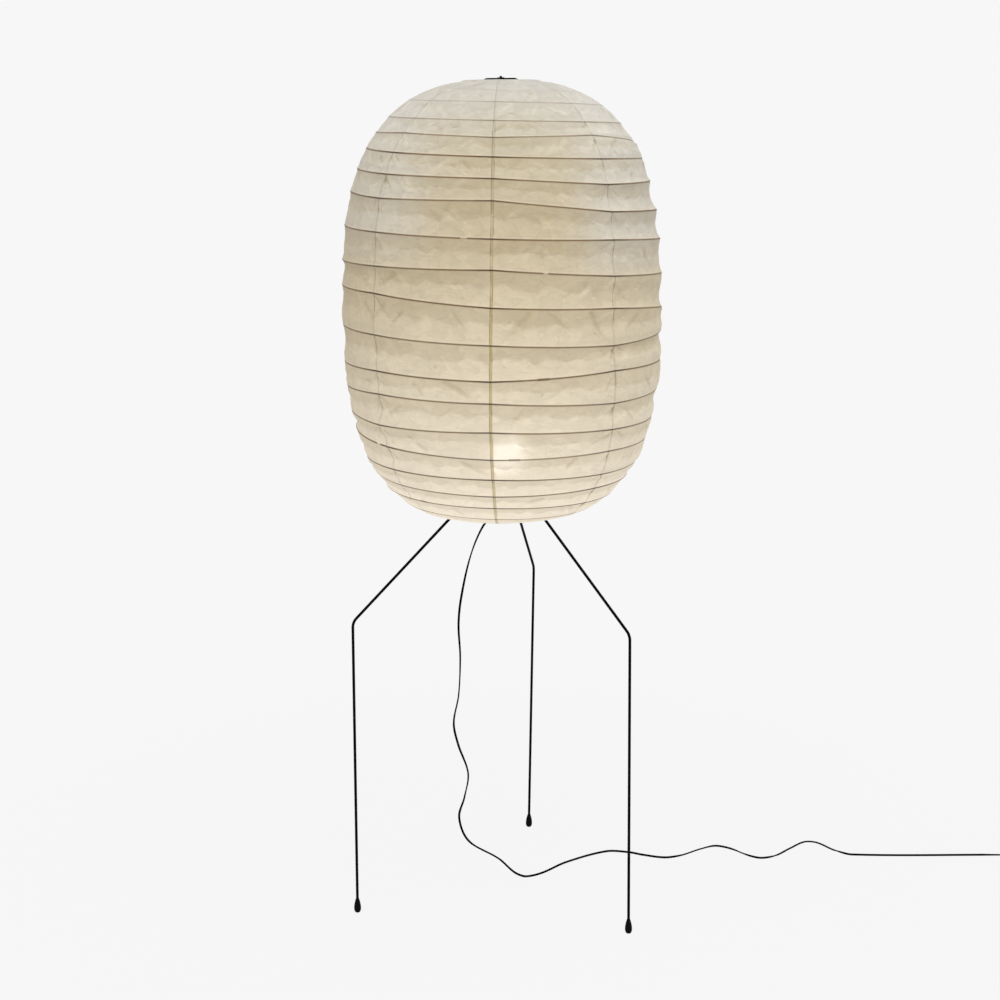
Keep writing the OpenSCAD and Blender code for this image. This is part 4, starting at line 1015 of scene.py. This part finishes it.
def crease_relief(marks, s, w, across, length):
    """How far the creases of a band push the paper in, at shares w down one column."""
    relief = np.zeros_like(w)
    for s0, v0, s1, v1, size, width in marks:
        ax, ay = s0 * across, v0 * length
        bx, by = s1 * across, v1 * length
        span = math.hypot(bx - ax, by - ay)
        if span < SHORTEST_CREASE:
            continue
        ux, uy = (bx - ax) / span, (by - ay) / span
        px, py = s * across - ax, w * length - ay
        on = px * ux + py * uy
        off = np.abs(px * uy - py * ux)
        taper = np.clip(on / 6, 0, 1) * np.clip((span - on) / (0.5 * span), 0, 1)
        relief += size * taper * np.exp(-(off / width) ** 2)
    # none where the paper is glued to the rib
    return relief * np.clip(w * length / 7, 0, 1) * np.clip((1 - w) * length / 7, 0, 1)


def band_shares(length, fold):
    """Shares down a band where the paper has points, closest at the ribs and the fold."""
    v = np.array(BAND_STEPS)
    edge = min(0.02 * length, 1.3) / max(length, 1e-6)
    v[1], v[2] = edge, min(0.045, 3.0 / max(length, 1e-6)) if length > 40 else 0.045
    v[-1], v[-2] = 1 - edge, 1 - v[2]
    shifted = np.where(v < 0.5, v * fold / 0.5, fold + (v - 0.5) * (1 - fold) / 0.5)
    by_rib = (v <= v[2]) | (v >= 1 - v[2])
    return np.where(by_rib, v, shifted)


def fold_shape(w, fold, sharp):
    """1 at the fold, 0 at the ribs: straight where sharp is 1, round where it is 0."""
    straight = np.where(w < fold, w / fold, (1 - w) / (1 - fold))
    round_off = np.sin(straight * math.pi / 2)
    return sharp * straight + (1 - sharp) * (0.25 * straight + 0.75 * round_off) * 0.9


class Panel:
    """What all the columns of one paper panel share: its chance creases and folds."""

    def __init__(self, number):
        self.number = number
        self.start_turn = SEAM_TURN + PANEL_STEP * number
        self.first_share = (number - 1) / PANELS
        self.bands = len(band_corners(self.first_share)) - 1
        self.creases = lay_creases(random.Random(100 + number), number, self.bands)
        bands = range(self.bands)
        self.fold_place = [value_noise(1000 * number + k, 12, -0.10, 0.10) for k in bands]
        self.fold_depth = [value_noise(2000 * number + k, 6, 0.75, 1.25) for k in bands]
        self.fold_sharp = [value_noise(3000 * number + k, 7, 0.35, 1.0) for k in bands]
        self.lap = FRONT_LAP if number == PANELS else SIDE_LAP
        self.next_lap = FRONT_LAP if number == PANELS - 1 else SIDE_LAP
        self.wander = [seam_wander(number), seam_wander(number + 1)]

    def profile(self, k, s, t0, t1):
        """Band k at a share s across, from t0 to t1 turns down: where its points lie
        in the plane of the lamp's axis, and how far from the fold and the creases."""
        (a0, p), (a1, q) = band_edge(t0), band_edge(t1)
        length = float(np.linalg.norm(q - p))
        unit = (q - p) / length if length > 1e-6 else np.array([0.0, -1.0])
        inward = np.array([unit[1], -unit[0]])
        fold = 0.46 + float(self.fold_place[k](s))
        w = band_shares(length, fold)
        t = t0 + (t1 - t0) * w
        loose = np.interp(t, [2.5, 6.5, 18.0, 19.5], [0, 1, 1, 0])
        depth = FOLD_DEPTH * length * float(self.fold_depth[k](s)) \
            * fold_shape(w, fold, float(self.fold_sharp[k](s))) * loose
        laid, by_hand = side_dent(k - 1, self.number, self.start_turn + PANEL_STEP * s, w)
        depth = depth * (1 - by_hand) + laid
        # the paper bears on the rib over a millimetre or two
        for gap in (w * length, (1 - w) * length):
            depth = depth - 0.4 * np.exp(-(gap / 1.6) ** 2)
        across = math.radians(PANEL_STEP) * (p[0] + q[0]) / 2
        crease = crease_relief(self.creases[k], s, w, across, length)
        depth = depth + settled(t) + crease * (0.4 + 0.5 * loose)
        round_r, round_z = outline_at(angle_between(a0, a1, w))
        flat = np.stack([round_r, round_z], 1) + inward[None, :] * depth[:, None]
        return w, inward, length, fold, crease, flat

    def column(self, j, keep):
        """The points of column j from rim to rim; keep takes what the mesh carries."""
        s = j / COLUMNS
        corners = band_corners(self.first_share + s / PANELS)
        points = []
        for k, (t0, t1) in enumerate(zip(corners, corners[1:])):
            w, inward, length, fold, crease, flat = self.profile(k, s, t0, t1)
            radius = np.maximum(flat[:, 0], 40)
            left = self.wander[0](flat[:, 1]) / radius
            right = self.wander[1](flat[:, 1]) / radius
            phi = math.radians(self.start_turn + PANEL_STEP * s) + left * (1 - s) + right * s
            if j == 0:
                phi = phi - self.lap / radius
            if j == COLUMNS:
                phi = phi + self.next_lap / radius
            # the lap lies on the neighbour
            lift = 0.30 if j <= 1 else (-0.10 if j >= COLUMNS - 1 else 0.1)
            r, z = (flat - inward * lift).T
            points.append(np.stack([r * np.cos(phi), r * np.sin(phi), z], 1))
            self.carry_rib(keep, k, w, length, t0, t1)
            self.carry_seam(keep, j, s, radius)
            keep["fold_mm"].append((fold - w) * length)
            keep["crease"].append(np.clip(-crease, -1, 1))
        return points

    def carry_rib(self, keep, k, w, length, t0, t1):
        """How far each point is from the rib, and how wide and dark the rib's painted shadow is
        there.
        """
        away = np.full_like(w, NO_RIB)
        above = w * length if k > 0 else away
        below = (1 - w) * length if k < self.bands - 1 else away
        here = np.where(above < below, t0, t1)
        half, dark = np.full_like(w, RIB_HALF), np.ones_like(w)
        for at, reach in SPLICES:
            half = np.where(np.abs(here - at) < reach, SPLICE_HALF, half)
        for at, reach in LIFTS:
            dark = np.where(np.abs(here - at) < reach, 0.2, dark)
        keep["rib_mm"].append(np.minimum(above, below))
        keep["rib_half_mm"].append(half)
        keep["rib_dark"].append(dark * RIB_TONE(np.clip(here / RIM_TURN, 0, 1))
                                * np.interp(here, [0, 1, 2, 3, 5], [0.06, 0.14, 0.42, 0.6, 1]))

    def carry_seam(self, keep, j, s, radius):
        """How far each point is from the nearer seam, and what that seam is like."""
        arc = math.radians(PANEL_STEP) * radius
        left_gap = s * arc - (self.lap if j == 0 else 0)
        right_gap = (1 - s) * arc - (self.next_lap if j == COLUMNS else 0)
        nearer = np.where(left_gap < right_gap, self.lap, self.next_lap)
        keep["seam_mm"].append(np.minimum(left_gap, right_gap))
        keep["lap_half_mm"].append(nearer)
        keep["seam_dark"].append((nearer == FRONT_LAP).astype(float))


def panel_piece(number):
    """One of the eight paper panels, from its seam to the next."""
    panel = Panel(number)
    keep = {what: [] for what in ("rib_mm", "rib_half_mm", "rib_dark", "seam_mm",
                                  "lap_half_mm", "seam_dark", "fold_mm", "crease")}
    points = [part for j in range(COLUMNS + 1) for part in panel.column(j, keep)]
    points = np.concatenate(points)
    rows = panel.bands * len(BAND_STEPS)
    faces = [(a, a + 1, a + 1 + rows, a + rows)
             for j in range(COLUMNS) for a in range(j * rows, j * rows + rows - 1)]
    piece = mesh_piece(f"paper_panel_{number}", points * MM, faces, "washi_paper",
                       carried={what: np.concatenate(v) for what, v in keep.items()})
    thick = piece.modifiers.new("paper_thickness", "SOLIDIFY")
    thick.thickness = PAPER_THICK * MM
    thick.offset = -1
    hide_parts(f"paper_gore_{number}")
    return piece


def bamboo_strip():
    """The one long strip, wound inside the paper."""
    per_turn, sides = 72, 10
    count = RIB_TURNS * per_turn
    t = RIB_START + np.arange(count + 1) / per_turn
    a = stray_angle(t)
    r, z = outline_at(a)
    r0, z0 = outline_at(np.minimum(a + 1, 90))
    r1, z1 = outline_at(np.maximum(a - 1, -90))
    way = np.stack([r1 - r0, z1 - z0], 1)
    way /= np.linalg.norm(way, axis=1)[:, None]
    inward = np.stack([way[:, 1], -way[:, 0]], 1)
    inset = 2.1 + settled(t)
    phi = np.radians(SEAM_TURN + PANEL_STEP + 360 * np.arange(count + 1) / per_turn)
    points = []
    for i in range(count + 1):
        middle = np.array([r[i], z[i]]) + inset[i] * inward[i]
        width = 1.25 * (1 + 0.06 * math.sin(i * 0.37) + 0.05 * math.sin(i * 0.113 + 1))
        for k in range(sides):
            b = 2 * math.pi * k / sides
            flat = middle + 1.1 * math.cos(b) * inward[i] + width * math.sin(b) * way[i]
            points.append((flat[0] * math.cos(phi[i]) * MM, flat[0] * math.sin(phi[i]) * MM,
                           flat[1] * MM))
    faces = grid_faces(count + 1, sides, closed=True)
    faces.append(tuple(reversed(range(sides))))
    faces.append(tuple(range(len(points) - sides, len(points))))
    piece = mesh_piece("bamboo_strip", points, faces, "bamboo")
    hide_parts("bamboo_rib")
    return piece


# ------------------------------------------------------- stage and lights

WHITE = (1, 1, 1, 1)
BACKGROUND = 0.930          # as bright as the photograph's plain ground
FILL_LIGHT = 0.50           # the world's own light on the lamp
FLOOR_SHADE = 0.05          # how much of the floor's look is real light
FLOOR_HALF = 14.0


def seen_plainly(tree):
    """1 for the camera and for what metal and glass show, 0 for light itself."""
    path = add(tree, "ShaderNodeLightPath").outputs
    mirrored = math_node(tree, "MAXIMUM", path["Is Glossy Ray"], path["Is Transmission Ray"])
    return math_node(tree, "MAXIMUM", path["Is Camera Ray"], mirrored)


def blend_shaders(tree, share, a, b):
    """Shader a going over to shader b as share goes from 0 to 1."""
    mix = add(tree, "ShaderNodeMixShader")
    for socket, value in zip(mix.inputs, (share, a, b)):
        put(tree, socket, value)
    return mix


def build_world():
    """A plain backdrop, and even light from all round."""
    world = bpy.data.worlds.new("studio")
    bpy.context.scene.world = world
    world.use_nodes = True
    tree = world.node_tree
    tree.nodes.clear()
    light = add(tree, "ShaderNodeBackground", {"Color": WHITE, "Strength": FILL_LIGHT})
    ground = add(tree, "ShaderNodeBackground", {"Color": WHITE, "Strength": BACKGROUND})
    add(tree, "ShaderNodeOutputWorld",
        {"Surface": blend_shaders(tree, seen_plainly(tree), light, ground)})


def lay_floor():
    """A plain pale floor that takes the lamp's shadow and fades into the backdrop."""
    mesh = bpy.data.meshes.new("studio_floor")
    mesh.from_pydata([(-FLOOR_HALF, -FLOOR_HALF, 0), (FLOOR_HALF, -FLOOR_HALF, 0),
                      (FLOOR_HALF, FLOOR_HALF, 0), (-FLOOR_HALF, FLOOR_HALF, 0)],
                     [], [(0, 1, 2, 3)])
    floor = bpy.data.objects.new("studio_floor", mesh)
    floor.location.z = -0.0002
    bpy.context.scene.collection.objects.link(floor)
    material = bpy.data.materials.new("studio_floor")
    material.use_nodes = True
    tree = material.node_tree
    tree.nodes.clear()
    place = add(tree, "ShaderNodeTexCoord").outputs["Object"]
    near = ranged(tree, vector_math(tree, "LENGTH", place), 0.8, 2.4, FLOOR_SHADE, 0.0)
    matte = add(tree, "ShaderNodeBsdfDiffuse", {"Color": (0.86, 0.86, 0.86, 1)})
    plain = add(tree, "ShaderNodeEmission", {"Color": WHITE, "Strength": BACKGROUND})
    shown = blend_shaders(tree, near, plain, matte)
    add(tree, "ShaderNodeOutputMaterial",
        {"Surface": blend_shaders(tree, seen_plainly(tree), matte, shown)})
    mesh.materials.append(material)


def soft_box(name, place, aim, width, height, power):
    """A rectangular studio lamp, turned towards what it lights."""
    data = bpy.data.lights.new(name, "AREA")
    data.shape = "RECTANGLE"
    data.size, data.size_y = width, height
    data.energy = power
    lamp = bpy.data.objects.new(name, data)
    lamp.location = place
    lamp.rotation_euler = (Vector(aim) - Vector(place)).to_track_quat("-Z", "Y").to_euler()
    bpy.context.scene.collection.objects.link(lamp)


def light_studio():
    """One lamp overhead and two in front, all large and soft."""
    soft_box("overhead", (0.3, -0.6, 4.6), (0, 0, 1.0), 3.0, 3.0, 62)
    soft_box("front_left", (-2.6, -3.6, 2.9), (0, 0, 1.2), 2.2, 2.2, 46)
    soft_box("front_right", (2.8, -3.2, 2.5), (0, 0, 1.2), 2.2, 2.2, 34)


# -------------------------------------------------------------- put together

def dress_solids():
    """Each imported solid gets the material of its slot."""
    for name, solid in frame["nodes"].items():
        solid.data.materials.clear()
        solid.data.materials.append(MATERIALS[SLOT_OF[name]])


place_camera()
lay_cords()
dress_solids()
for number in range(1, PANELS + 1):
    panel_piece(number)
bamboo_strip()
build_world()
lay_floor()
light_studio()
bpy.context.scene.view_settings.view_transform = "Standard"
